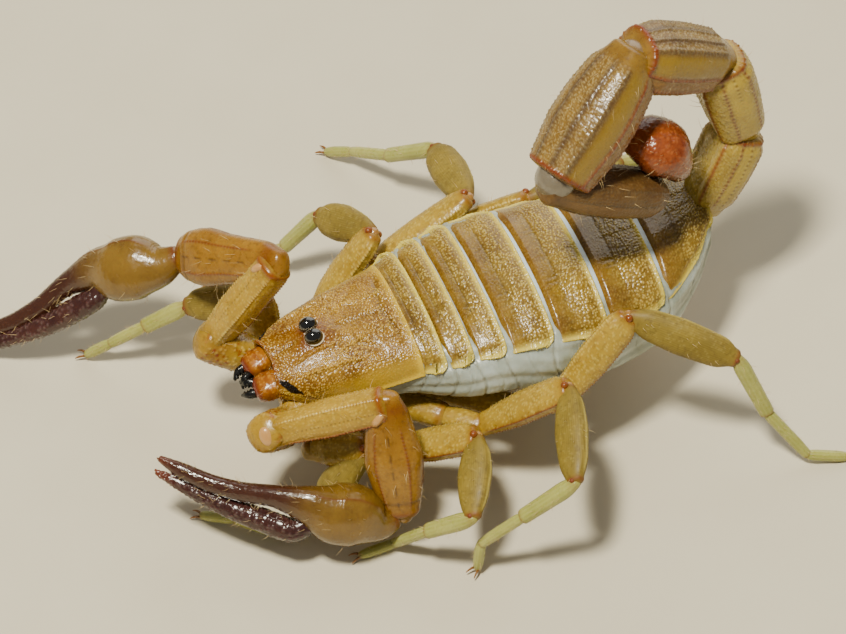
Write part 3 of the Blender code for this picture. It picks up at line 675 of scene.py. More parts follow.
class Tube:
    """A limb surface: rings set square to a line through given points.

    At each distance u along the line the ring is |p/deep|^n + |q/thick|^n = 1, with p along up
    and q along side; both ends close in round domes.  u is the distance along, v the distance
    round from the up side, turn the angle from up towards side in degrees."""

    def __init__(self, line, side, table, step, around, power=2.3, domes=(0.3, 0.3), ease=0.25):
        line = np.array(line)
        places, deep, thick = np.array(table).T
        self.low, self.high = low, high = places[0], places[-1]
        bend = np.linspace(0.12, np.pi / 2, 8)
        inner = np.linspace(low + domes[0], high - domes[1],
                            max(4, int((high - low - sum(domes)) / step)))[1:-1]
        # a table that starts at -w has its first dome start at -2w, well inside the last article
        u = np.concatenate([low + (low + domes[0] * (1 - np.cos(bend))), inner,
                            (high - domes[1] * (1 - np.cos(bend)))[::-1]])
        shrink = np.concatenate([np.sin(bend), np.ones(len(inner)), np.sin(bend)[::-1]])
        where = line[0] + np.outer(u, unit(line[1] - line[0]))
        if len(line) > 2:
            where = np.stack([eased(u, run_of(line), line[:, k], ease) for k in range(3)], axis=1)
        tangent = np.gradient(where, axis=0)
        tangent /= np.linalg.norm(tangent, axis=1, keepdims=True)
        sides = side - tangent * (tangent @ side)[:, None]
        sides /= np.linalg.norm(sides, axis=1, keepdims=True)
        ups = np.cross(tangent, sides)
        deep, thick = (eased(u, places, one, ease) * shrink for one in (deep, thick))
        angle = np.linspace(-np.pi, np.pi, 721)
        ratio = thick.mean() / deep.mean()
        c, s = np.cos(angle), np.sin(angle)
        reach = (np.abs(c) ** power + np.abs(s) ** power) ** (-1 / power)
        ring = evenly(np.stack([reach * c, reach * s * ratio, 0 * c], -1)[None], around + 1)[0, :-1]
        p, q = ring[:, 0], ring[:, 1] / ratio
        self.girth = np.linalg.norm(np.diff(ring, axis=0, append=ring[:1]), axis=1).sum() * deep.mean()
        self.v, self.u = np.meshgrid((np.arange(around) / around - 0.5) * self.girth, u)
        self.turn = np.degrees(np.arctan2(q, p)) * np.ones((len(u), 1))
        self.points = (where[:, None] + (deep[:, None] * p)[..., None] * ups[:, None]
                       + (thick[:, None] * q)[..., None] * sides[:, None])
        self.up, self.side = ups[len(u) // 2], sides[len(u) // 2]

    def near(self, width, *angles):
        """Smooth ridges along the tube at angles from up, `width` in degrees."""
        return sum(np.exp(-(((self.turn - angle + 180) % 360 - 180) / width) ** 2) for angle in angles)

    def row(self, pitch, sharp=1.5, shift=0.0):
        """Beads along the tube, one each `pitch`."""
        return (0.5 + 0.5 * np.cos(2 * np.pi * (self.u / pitch + shift))) ** sharp

    def grain(self, cell, seed, share=1.0):
        """Round granules over the tube that meet where it closes."""
        cells = max(3, round(self.girth / cell))
        found = beads(self.u * cells / self.girth * cell, (self.v / self.girth + 0.5) * cells * cell,
                      cell, seed, share, cells)
        return found * step_up(self.u - self.low, 0.12, 0.40) * step_up(self.high - self.u, 0.12, 0.40)

    def raised(self, height):
        """The points moved out along the surface's normal by a height."""
        return self.points + outward(self.points, wraps=True) * height[..., None]


tail_rings = []
near = np.array((-16.0, -0.8, 7.0))
for tail_node in (*(f"metasoma_{k}" for k in range(1, 6)), "telson"):
    tail_rings.append(rings_of(tail_node, near))
    near = centre_of(tail_rings[-1][-1])
*tail_rings, telson_rings = tail_rings
tail_hinges = [centre_of(tail_rings[0][0]) + 0.1 * FORWARD,
               *(hinge(a, b) for a, b in zip(tail_rings, tail_rings[1:])), centre_of(tail_rings[-1][-1])]
tail_axes = [unit(b - a) for a, b in zip(tail_hinges, tail_hinges[1:])]
for k, (back_at, upper_at, lower_at, under_at, pitch, strength, hairs, shell) in enumerate(TAIL):
    axis, start, last = tail_axes[k], tail_hinges[k], k == 4
    side = square_to(LEFT, axis)
    whole = np.linalg.norm(tail_hinges[k + 1] - start)
    kept = 1 - FOURTH_CUT * (k == 3) / whole
    length = whole * kept
    found = [(at * kept, deep, thick) for at, deep, thick in sizes_of(tail_rings[k], start, axis, side)]
    table = tapered(found, ((-0.25, 0.86, 0.86), (0.15, 0.96, 0.96)),
                    ((-0.25, 1.04, 1.04), (0.20, 0.98, 0.98)), length, slice(1, -1))
    tube = Tube((start, tail_hinges[k + 1]), side, table, 0.055, 190, power=2.5 if last else 2.9,
                domes=(0.30, 0.5 if last else 0.30), ease=0.22)
    from_back = 180 - np.abs(tube.turn)
    u, share = tube.u, held(tube.u / length)
    body = span(share, 0.04, 0.14, 0.94, 1.0)
    back_keel, upper_keel = bell(from_back, back_at, 3.8), bell(from_back, upper_at, 3.4)
    lower_keel, under_keel = bell(from_back, lower_at, 3.6), bell(from_back, under_at, 3.4)
    mid_keel = bell(from_back, 101, 3.2) * (1 if k == 0 else step_up(share, 0.55, 0.75) * (k == 1))
    keels = held(back_keel + upper_keel + mid_keel + lower_keel + under_keel)
    row, coarse, fine = tube.row(pitch), tube.grain(0.135, 200 + k, 0.75), tube.grain(0.090, 220 + k, 0.9)
    lateral = span(from_back, upper_at + 2, upper_at + 12, lower_at - 14, lower_at - 2)
    hollow = step_up(-from_back, -36, -22) * (not last)
    rim = bell(u, length - 0.12, 0.13) * (not last)
    ridge = 0.06 * back_keel + 0.045 * upper_keel + 0.03 * mid_keel + 0.05 * lower_keel + 0.04 * under_keel
    ridge += 0.65 * row * (ridge - 0.005 * upper_keel - 0.005 * under_keel)
    height = body * (strength * ridge - 0.16 * hollow + (0.036 - 0.020 * lateral) * coarse + 0.012 * fine)
    rim_beads = beads(np.zeros_like(u), tube.v, 0.17, 240 + k)
    height += rim * (0.05 + 0.08 * rim_beads) + 0.05 * bell(share, 0.5, 0.32) * lateral
    bead = held(body * (keels * row * (0.35 if shell == 1 else 0.8) + 0.55 * coarse * (1 - lateral)
                        + 0.22 * fine))
    if shell == 0:
        dots = tube.row(pitch, 2.0, 0.5)
        dark = 0.80 * body * held(upper_keel + mid_keel + lower_keel) * dots
        red = 0.80 * rim + body * (0.8 * back_keel + 0.5 * upper_keel + 0.5 * lower_keel)
        pale = 0.6 * lateral * body * bell(share, 0.6, 0.4)
        bead = bead * 0.55
    elif shell == 1:
        band = held(bell(from_back, lower_at - 3, 8.5) + bell(from_back, under_at - 3, 7.5))
        strip = bell(from_back, (back_at + upper_at) / 2, 11) * body
        dark = body * (0.68 * band + 0.12 * step_up(from_back, lower_at, lower_at + 10))
        red = held(0.85 * rim + body * (0.7 * bell(from_back, back_at, 9)
                                        + 0.85 * bell(from_back, upper_at, 5.5)))
        red = np.maximum(red, 0.45 * strip)
        pale = body * held(0.8 * lateral + 0.9 * strip)
        bead = bead * (1 - 0.7 * strip)
    else:
        dark = body * held(0.35 * keels + 0.55 * step_up(from_back, 100, 150))
        red = 0.4 * bell(share, 1.0, 0.12)
        pale = 0.5 * body * lateral
        bead = bead * 0.4
    marks = dict(bead=bead, pale=held(pale) * (1 - 0.5 * bead), dark=dark, red=red)
    make_piece(f"tail_{k + 1}_shell", [(tube.raised(height), marks)], TAIL_SHELLS[shell],
               "shell_tail_dark" if last else "shell_tail", f"metasoma_{k + 1}")
    hair_beds.append((tube.points, hairs, 0.55))
    if not last:
        fuller, beyond, tint = TAIL_JOINTS[k]
        deep, thick = found[-1][1:]
        joint_balls.append((start + axis * (length + beyond), axis + tail_axes[k + 1], side,
                            thick * fuller, deep * fuller, thick * fuller, tint))


# ---- Telson ----
# The poison bulb is deep orange-red shell, granular on top, drawn out into a curved black sting.
# Its underside is painted darker wine as shade.
# the red tone here feeds only the bulb's red mask, which is painted shade on its underside plus a weaker
# band near its base
TELSON_SHELL = shell_finish("telson_shell", (116, 46, 14), (146, 70, 22), (226, 140, 74), (190, 92, 30),
                            (10, 7, 6), (62, 24, 20), rough=0.26, coat=0.35, speck=0.25)


def bent_sizes(rings, side):
    """The middle line of a bent solid, the distance along it and its sizes square to it."""
    line = [centre_of(ring) for ring in rings]
    run = run_of(line)
    table = []
    for ring, at, before, after in zip(rings, run, line[:1] + line[:-1], line[1:] + line[-1:]):
        axis = unit(after - before)
        table.append((at, *sizes_of([ring], centre_of(ring), axis, square_to(side, axis))[0][1:]))
    return line, run, table


bulb_line, bulb_run, bulb_table = bent_sizes(telson_rings, LEFT)
bulb_table[0] = (-0.15, 0.45, 0.50)
bulb_table[-3:] = ((bulb_run[-3], 0.23, 0.23), (bulb_run[-2], 0.16, 0.16),
                   (bulb_run[-1] + 0.10, 0.05, 0.05))
for entry, fuller in enumerate((1.10, 1.16, 1.20, 1.30, 1.15), start=1):
    at, deep, thick = bulb_table[entry]
    bulb_table[entry] = (at, deep * fuller, thick * fuller)
bulb = Tube(bulb_line, LEFT, bulb_table, 0.05, 170, power=2.1, domes=(0.3, 0.06), ease=0.22)
neck = step_up(bulb.u, 3.4, 4.5)
coarse, fine = bulb.grain(0.15, 260, 0.6), bulb.grain(0.10, 261, 0.9)
height = (1 - neck) * (0.028 * coarse + 0.012 * fine) + 0.05 * bell(bulb.u, 0.05, 0.14)
# red: the dark wine on the bulb's underside is painted shade; a weaker band of it lies near the base
marks = dict(bead=(0.35 * coarse + 0.15 * fine) * (1 - neck), dark=neck + bell(bulb.u, -0.1, 0.25) * 0.9,
             red=held(0.9 * bulb.near(70, 180) + 0.3 * bell(bulb.u, 0.3, 0.5)) * (1 - neck))
hair_beds.append((bulb.points[:int(len(bulb.points) * 0.6)], 46, 0.60))
make_piece("telson_shell", [(bulb.raised(height), marks)], TELSON_SHELL, "shell_telson", "telson")


# ---- Belly plates ----
# Five smooth pale-brown plates cross the belly behind the combs, the first four with a pair of
# slits for breathing; a small breast plate fills the middle between the hips.
BELLY_ENDS = (-3.1, -4.3, -6.6, -9.4, -12.5, -16.3)
BELLY_TURN = 26.0                  # where a belly plate's side ends, below its widest line
# the breast plate's three lobes: middle, then half height, length and breadth
BREAST = (((-0.55, 0.0, 3.75), (0.85, 1.25, 0.62)), ((-2.05, 0.42, 3.95), (0.50, 0.62, 0.52)),
          ((-2.05, -0.42, 3.95), (0.50, 0.62, 0.52)))
BELLY_SHELL = shell_finish("belly_shell", (176, 140, 66), (194, 162, 92), (236, 212, 150), (224, 204, 144),
                           (70, 42, 18), (140, 84, 36), rough=0.26, coat=0.3)
for number, (fore_x, rear_x) in enumerate(zip(BELLY_ENDS, BELLY_ENDS[1:]), start=3):
    run = np.linspace(fore_x - 0.10, rear_x, 56)
    plate, side, back = shield(run, 180 + BELLY_TURN, 360 - BELLY_TURN, 150)
    out = outward(plate)
    u, v = lengths(plate)
    wide, off = np.abs(side), np.abs(v)
    plate[..., 0] += 0.45 * wide ** 6 * back ** 2
    border = np.maximum(bell(u[-1, 0] - u, 0.05, 0.09), bell(off[:, :1] - off, 0.04, 0.09))
    keels = (bell(off, 0.8, 0.09) + bell(off, 1.9, 0.09)) * step_up(back, 0.3, 0.6) * (number == 7)
    slit = -np.hypot((back - 0.55) / 0.16, (wide - 0.62) / 0.05)
    dent, shade = (step_up(slit, *edge) * (number < 7) for edge in ((-1.2, -0.6), (-1.1, -0.7)))
    height = (0.02 - 0.20 * step_up(-back, -0.10, 0.0) + 0.05 * (border + keels - dent)
              + 0.010 * beads(u, v, 0.16, 500 + number, 0.5))
    marks = dict(bead=0.3 * keels, pale=0.8 * border, dark=shade, red=0.3 * keels)
    make_piece(f"belly_plate_{number}", [as_plate(plate + out * height[..., None], marks, PLATE_THICK)],
               BELLY_SHELL, "shell_trunk")
lobes = [(ball(middle, UP, FORWARD, sizes, -84, 84, 24, 48), {}) for middle, sizes in BREAST]
make_piece("breast_plate", lobes, BELLY_SHELL, "shell_trunk")


# ---- Combs ----
# A pair of pale feelers under the belly: a flat jointed shaft with a row of flat teeth behind it.
TEETH = 19
COMB_SHELL = shell_finish("comb_shell", (206, 170, 96), (222, 192, 126), (244, 228, 180), (236, 218, 168),
                          (120, 78, 36), (150, 90, 40), speck=0.1)
for word, hand in HANDS:
    rings = rings_of(f"pectine_{word}", (-2.0, 0.5 * hand, 4.0))
    start, end = centre_of(rings[0]), centre_of(rings[-1])
    axis, length = unit(end - start), np.linalg.norm(end - start)
    rearward = square_to(-FORWARD, axis)
    flat_side = np.cross(axis, rearward)
    fore_edge = start - rearward * 0.22
    shaft = Tube((fore_edge, fore_edge + axis * length), flat_side,
                 ((0.0, 0.24, 0.20), (0.8, 0.34, 0.24), (length - 0.8, 0.30, 0.20), (length, 0.16, 0.12)),
                 0.06, 44, power=2.6, domes=(0.15, 0.15))
    cells = bell((shaft.u / 0.62) % 1.0, 0.5, 0.10)
    tubes = [(shaft.raised(-0.04 * cells), dict(dark=0.3 * cells))]
    for share in (np.arange(TEETH) + 0.5) / TEETH:
        root = start + axis * (0.10 + (length - 0.35) * share) - rearward * 0.05
        way = unit(rearward + 0.12 * axis - 0.10 * UP)
        long = 0.80 * (1 - 0.35 * (2 * share - 1) ** 2)
        tooth = Tube((root, root + way * long), flat_side,
                     ((0.0, 0.060, 0.09), (0.55 * long, 0.075, 0.13), (long, 0.045, 0.08)), 0.16, 10,
                     power=2.0, domes=(0.04, 0.08), ease=0.05)
        tubes.append((tooth.points, dict(pale=0.5 * step_up(tooth.u, 0.3 * long, long))))
    make_piece(f"comb_{word}", tubes, COMB_SHELL, "comb_pale", f"pectine_{word}")


# ---- Jaws ----
# A pair of short, glossy orange jaws under the front of the head plate.  Each ends in two small
# black toothed fingers that close on each other.
JAW_LONG = 1.72
JAW_SIZES = ((0.0, 0.50, 0.58), (0.6, 0.60, 0.68), (1.15, 0.60, 0.72), (1.5, 0.50, 0.62),
             (JAW_LONG, 0.34, 0.46))
JAW_FINGERS = ((0.18, -0.24, 0.95), (0.02, 0.27, 1.05))  # lift, how far out, length
JAW_SHELL = shell_finish("jaw_shell", (136, 74, 6), (160, 98, 12), (214, 160, 60), (206, 150, 56),
                         (10, 9, 8), (110, 30, 6), rough=0.24, coat=0.30)
for word, hand in HANDS:
    rings = rings_of(f"chelicera_{word}", (5.0, 0.8 * hand, 6.5))
    start = centre_of(rings[0])
    axis = unit(centre_of(rings[-1]) - start)
    side = square_to(LEFT, axis)
    base = start - axis * 0.9
    palm = Tube((base, base + axis * JAW_LONG), side, JAW_SIZES, 0.05, 90, power=2.7,
                domes=(0.2, 0.22), ease=0.15)
    coarse = palm.grain(0.15, 300, 0.5)
    marks = dict(bead=0.7 * coarse, dark=0.5 * step_up(palm.u, 1.25, 1.65) * palm.near(60, 0),
                 red=0.9 * bell(palm.u, 1.6, 0.22) + 0.35 * bell(palm.u, 0.95, 0.10))
    tubes = [(palm.raised(0.022 * coarse), marks)]
    hair_beds.append((palm.points, 16, 0.32))
    for lift, out_of, length in JAW_FINGERS:
        root = base + axis * 1.38 + side * (out_of - 0.10) * hand
        bend = root + axis * length * 0.60 + side * (out_of * 0.3 - 0.14) * hand + UP * (lift - 0.02)
        tip = root + axis * length - side * (out_of * 0.35 + 0.30) * hand - UP * 0.20
        table = ((0.0, 0.30, 0.26), (length * 0.5, 0.25, 0.21), (length, 0.07, 0.07))
        finger = Tube((root, bend, tip), side, table, 0.035, 30, power=2.0, domes=(0.1, 0.05), ease=0.12)
        teeth = finger.near(32, 90 if out_of * hand < 0 else -90) * finger.row(0.22, 2.0)
        coarse = finger.grain(0.12, 310, 0.5)
        height = 0.12 * teeth * step_up(finger.u, 0.15, 0.3) + 0.02 * coarse
        tubes.append((finger.raised(height), dict(bead=0.35 * coarse, dark=1.0)))
    make_piece(f"jaw_{word}", tubes, JAW_SHELL, "shell_amber", f"chelicera_{word}")


# ---- Pincer arms ----
# Each arm is a knobbly inner article, a boxy keeled one, a fat oval one, and the smooth swollen
# hand drawn out into its fixed finger, with a curved moving finger closing from below.
FINGER_WIDTHS = (0.42, 0.58, 0.60, 0.54, 0.45, 0.33, 0.11)
ARM_SHELL = shell_finish("arm_shell", (138, 102, 16), (162, 126, 32), (255, 228, 124), (200, 164, 60),
                         (60, 28, 10), (128, 50, 12), rough=0.24)
OVAL_SHELL = shell_finish("oval_shell", (126, 84, 14), (148, 104, 24), (240, 196, 104), (186, 138, 48),
                          (50, 24, 10), (104, 38, 10), rough=0.26)
PALM_SHELL = shell_finish("palm_shell", (102, 74, 20), (120, 90, 28), (230, 180, 100), (146, 110, 40),
                          (58, 26, 22), (100, 42, 14), rough=0.20, coat=0.45, speck=0.2)
FINGER_SHELL = shell_finish("finger_shell", (52, 26, 24), (68, 36, 30), (150, 120, 120), (116, 72, 46),
                            (24, 11, 12), (108, 46, 22), rough=0.22, coat=0.35, speck=0.2)


def article(rings, start, end, side, fore, rear, *form, fuller=1.0, first=None, **more):
    """A tube from one hinge to the next round a solid's rings, tapered at both ends."""
    length = np.linalg.norm(end - start)
    found = sizes_of(rings, start, unit(end - start), side)
    found = [(at, deep * fuller, thick) for at, deep, thick in found]
    table = tapered(found, fore, rear, length, first=first)
    tube = Tube((start, end), side, table, *form, **more)
    tube.length, tube.share, tube.last = length, tube.u / length, found[-1]
    return tube


for word, hand in HANDS:
    inner = rings_of(f"palp_{word}_femur", (4.0, 1.0 * hand, 4.4))
    elbow_rings = rings_of(f"palp_{word}_patella", centre_of(inner[-1]))
    palm_rings = rings_of(f"palp_{word}_hand", centre_of(elbow_rings[-1]))
    finger_rings = rings_of(f"palp_{word}_finger", centre_of(palm_rings[3]))
    root, hip, elbow = centre_of(inner[0]), centre_of(inner[3]), hinge(inner[4:], elbow_rings)
    wrist = (centre_of(elbow_rings[-1]) + centre_of(palm_rings[0])) / 2
    axes = [unit(b - a) for a, b in ((root, hip), (hip, elbow), (elbow, wrist))]
    side = unit(np.cross(axes[1], axes[2])) * -hand
    # coxa and trochanter
    coxa_line = (np.array((4.6, 1.0 * hand, 4.9)), root + axes[0] * 0.3)
    length = np.linalg.norm(coxa_line[1] - coxa_line[0])
    coxa = Tube(coxa_line, UP, ((0.0, 0.8, 0.8), (length * 0.5, 0.95, 0.95), (length, 0.76, 0.76)),
                0.08, 90, domes=(0.3, 0.4))
    coarse = coxa.grain(0.17, 320, 0.5)
    marks = dict(bead=0.4 * coarse, pale=0.1, red=0.5 * bell(coxa.u, length - 0.2, 0.25))
    tubes = [(coxa.raised(0.02 * coarse), marks)]
    hip_side = square_to(side, axes[0])
    found = sizes_of(inner[:4], root, axes[0], hip_side)
    length = np.linalg.norm(hip - root)
    table = ((-0.1, 0.72, 0.70), (0.35, 0.90, 0.86), found[1], found[2], (length + 0.35, 0.98, 0.94),
             (length + 0.85, 0.80, 0.78))
    knob = Tube((root, hip), hip_side, table, 0.06, 110, power=2.4, domes=(0.3, 0.5))
    coarse, spots = knob.grain(0.20, 322, 0.45), knob.grain(0.26, 323, 0.35)
    marks = dict(bead=0.6 * coarse, pale=0.15, red=0.8 * spots + 0.3 * bell(knob.u, length - 0.2, 0.5))
    tubes.append((knob.raised(0.04 * coarse), marks))
    # the boxy article: four beaded edges and a dotted line along each broad face
    arm = article(inner[4:7], hip, elbow, side, ((-0.25, 0.60, 0.58), (0.35, 0.78, 0.74)),
                  ((-0.45, 1.02, 1.02), (0.25, 0.86, 0.86)), 0.055, 130, power=3.0,
                  domes=(0.3, 0.35), first=(1.0, 1.0))
    body = span(arm.share, 0.08, 0.2, 0.9, 0.97)
    corners = (45, -45, 135, -135)
    low_corners = [a for a in corners
                   if (arm.up * np.cos(np.radians(a)) + arm.side * np.sin(np.radians(a))) @ UP < 0.2]
    edges, row, coarse = arm.near(4.2, *corners), arm.row(0.16), arm.grain(0.16, 330, 0.5)
    dots = arm.near(2.6, 90, -90, 0) * step_up(arm.share, 0.2, 0.3) * arm.row(0.21, 2.5, 0.5)
    rim = bell(arm.u, arm.length - 0.15, 0.14)
    height = body * (0.035 * edges + 0.055 * edges * row + 0.020 * coarse) + 0.06 * rim
    red = (0.7 * rim + 0.4 * edges * (1 - row) * step_up(arm.share, 0.2, 0.8)
           + body * (0.8 * arm.near(4.2, *low_corners) + 0.30 * arm.near(17, *low_corners)))
    marks = dict(bead=body * (edges * row + 0.50 * coarse), pale=0.35 * body * (1 - edges),
                 dark=body * 0.85 * dots, red=red)
    tubes.append((arm.raised(height), marks))
    make_piece(f"arm_{word}_femur", tubes, ARM_SHELL, "shell_amber", f"palp_{word}_femur")
    hair_beds += [(knob.points, 10, 0.45), (arm.points, 34, 0.60)]
    # the fat oval article
    oval = article(elbow_rings[1:4], elbow, wrist, side, ((-0.35, 0.55, 0.62), (0.45, 0.86, 0.86)),
                   ((-0.30, 0.74, 0.74), (0.22, 0.50, 0.55)), 0.055, 170, power=2.5, domes=(0.35, 0.30),
                   ease=0.35, fuller=1.05)
    body = span(oval.share, 0.10, 0.25, 0.82, 0.95)
    edges, row, coarse = oval.near(3.0, 58, -58, 122, -122), oval.row(0.20), oval.grain(0.17, 340, 0.4)
    broken = oval.near(2.4, 90, -90, 0, 180) * step_up(oval.row(0.9, 1.0, 0.2), 0.2, 0.7)
    end_line, rim = bell(oval.share, 0.86, 0.018), bell(oval.u, oval.length - 0.22, 0.15)
    height = (body * (0.035 * edges * (0.6 + row) + 0.02 * broken + 0.008 * coarse) + 0.05 * rim
              - 0.03 * end_line)
    marks = dict(bead=body * (0.35 * edges * row + 0.12 * coarse), pale=0.10 * body,
                 dark=body * 0.65 * broken + 0.35 * end_line, red=body * (0.75 * edges
                 + 0.5 * oval.near(16, 0, 180)) + 0.6 * rim + 0.5 * bell(oval.u, 0.1, 0.35))
    make_piece(f"arm_{word}_patella", [(oval.raised(height), marks)], OVAL_SHELL, "shell_amber",
               f"palp_{word}_patella")
    hair_beds.append((oval.points, 30, 0.55))
    # hand and fixed finger in one
    line, run, table = bent_sizes(palm_rings, side)
    palm_end = run[4]
    table[5:-1] = [(at, deep * 1.28, thick * 1.12) for at, deep, thick in table[5:-1]]
    table = [(-0.30, 0.42, 0.40), (0.15, 0.56, 0.50), *table[1:-1], (run[-1], 0.12, 0.12)]
    palm = Tube(line, side, table, 0.06, 170, power=2.15, domes=(0.25, 0.12), ease=0.40)
    along = palm.u
    wine = step_up(along, palm_end - 0.9, palm_end + 1.6)
    inner_edge = palm.near(16, 180) * step_up(along, palm_end + 1.0, palm_end + 2.0)
    teeth, big = palm.row(0.17, 1.5), step_up(palm.row(1.15, 1.0), 0.80, 1.0)
    keel = palm.near(3.5, 35) * span(along, 1.2, 2.5, palm_end, palm_end + 1.5)
    height = (inner_edge * (0.05 * teeth + 0.06 * big) + 0.02 * keel + 0.010 * palm.grain(0.17, 350, 0.6)
              + 0.007 * wine * palm.grain(0.26, 352, 0.6))
    red = 0.55 * keel * (1 - wine) + 0.8 * bell(along, 0.05, 0.3) + 0.75 * bell(along, run[-1], 0.7)
    marks = dict(bead=0.25 * inner_edge * teeth + 0.06 * palm.grain(0.16, 350, 0.4),
                 pale=0.25 * (1 - wine) * palm.near(45, 90), dark=0.92 * wine, red=red)
    make_piece(f"arm_{word}_hand", [(palm.raised(height), marks)], PALM_SHELL, "shell_amber",
               f"palp_{word}_hand")
    hair_beds.append((palm.points, 90, 0.50))
    # moving finger, bowed towards the fixed one
    line = np.array([centre_of(ring) for ring in finger_rings])
    share = np.linspace(0, 1, len(line))
    bow = 0.42 * np.sin(np.pi * share) - 0.15 * (1 - share) ** 3
    line -= np.outer(bow, unit(line[0] - centre_of(palm_rings[4])))
    line = np.vstack([0.45 * line[0] + 0.55 * centre_of(palm_rings[3]), line])
    run = run_of(line)
    claw = Tube(line, side, [(at, wide, wide * 0.92) for at, wide in zip(run, FINGER_WIDTHS)], 0.055, 110,
                power=2.15, domes=(0.3, 0.12), ease=0.35)
    inner_edge = claw.near(16, 0) * step_up(claw.u, 1.4, 2.0)
    teeth, big = claw.row(0.17, 1.5), step_up(claw.row(1.15, 1.0, 0.5), 0.80, 1.0)
    lump = claw.grain(0.22, 360, 0.65)
    marks = dict(bead=0.3 * inner_edge * teeth + 0.25 * lump, red=0.9 * bell(claw.u, run[-1], 0.9),
                 dark=0.4 * claw.near(60, 180) * step_up(-claw.u, -3.5, -0.5))
    hair_beds.append((claw.points, 44, 0.42))
    height = inner_edge * (0.05 * teeth + 0.07 * big) + 0.042 * lump
    make_piece(f"arm_{word}_finger", [(claw.raised(height), marks)], FINGER_SHELL, "shell_wine",
               f"palp_{word}_finger")
    crook = unit(axes[2] - axes[1])
    if hand > 0:
        outer = square_to(UP + 1.3 * LEFT, axes[1])
        joint_balls.append((hip + axes[1] * 0.02 + outer * 0.70, np.cross(axes[1], outer), axes[1],
                            0.52, 0.24, 0.36, 1.0))
    joint_balls += [(hip, axes[0] + axes[1], side, 0.60, 0.62, 0.60, 0.3),
                    (elbow, axes[1] + axes[2], side, 0.58, 0.66, 0.58, 0.2),
                    (elbow + crook * 0.55, crook, side, 0.72, 0.36, 0.97, 1.0),
                    (wrist, axes[2] + unit(centre_of(palm_rings[1]) - wrist), side, 0.44, 0.54, 0.44, 0.2)]


# ---- Legs ----
# Eight legs, each of coxa, trochanter, beaded femur, flat oval patella, slim tibia and a foot of
# two joints with a pair of small brown claws; the shell is paler and smoother towards the foot.
CLAW_LINE = ((0, 0, 0), (0.26, 0.10, 0.06), (0.50, 0.17, -0.05), (0.60, 0.19, -0.15))  # ahead, out, up
CLAW_SIZES = ((0.0, 0.085, 0.07), (0.35, 0.065, 0.05), (0.62, 0.02, 0.02))
FOOT_GAP, CLAW_GAP = 0.012, 0.004  # the soles and claws keep this clear of the board
# skin of a leg's hinges: which point, long and deep, tint
LEG_JOINTS = ((2, 0.36, 0.40, 0.1), (3, 0.30, 0.32, 0.3), (4, 0.21, 0.24, 0.3), (5, 0.20, 0.22, 0.3))
LEG_SHELL = shell_finish("leg_shell", (150, 116, 26), (172, 138, 42), (250, 226, 124), (206, 184, 84),
                         (84, 48, 16), (120, 48, 14), rough=0.30, coat=0.10)
SHANK_SHELL = shell_finish("shank_shell", (116, 96, 28), (138, 116, 38), (232, 212, 124), (184, 166, 80),
                           (64, 42, 16), (116, 46, 14), rough=0.56, coat=0.0)
FOOT_SHELL = shell_finish("foot_shell", (150, 150, 66), (170, 168, 86), (236, 232, 170), (188, 188, 118),
                          (104, 66, 24), (120, 38, 14), rough=0.30, coat=0.08, speck=0.15)


def carried(side, before, after):
    """A direction turned by the smallest turn that carries one axis on to another."""
    turn = np.cross(before, after)
    turned = np.cross(turn, side)
    return side + turned + np.cross(turn, turned) / (1 + before @ after)


def stria_of(tube, count, waver=0.0):
    """Fine grooves along a tube, `count` of them round it."""
    return 0.5 + 0.5 * np.cos(np.radians(tube.turn) * count + waver)


def hinge_knobs(at, axis, side, out_by, sizes, rows, count, **marks):
    """The two dark knobs that a leg's article turns on."""
    return [(ball(at + side * flank * out_by, side * flank, axis, sizes, -60, 84, rows, count), marks)
            for flank in (1, -1)]


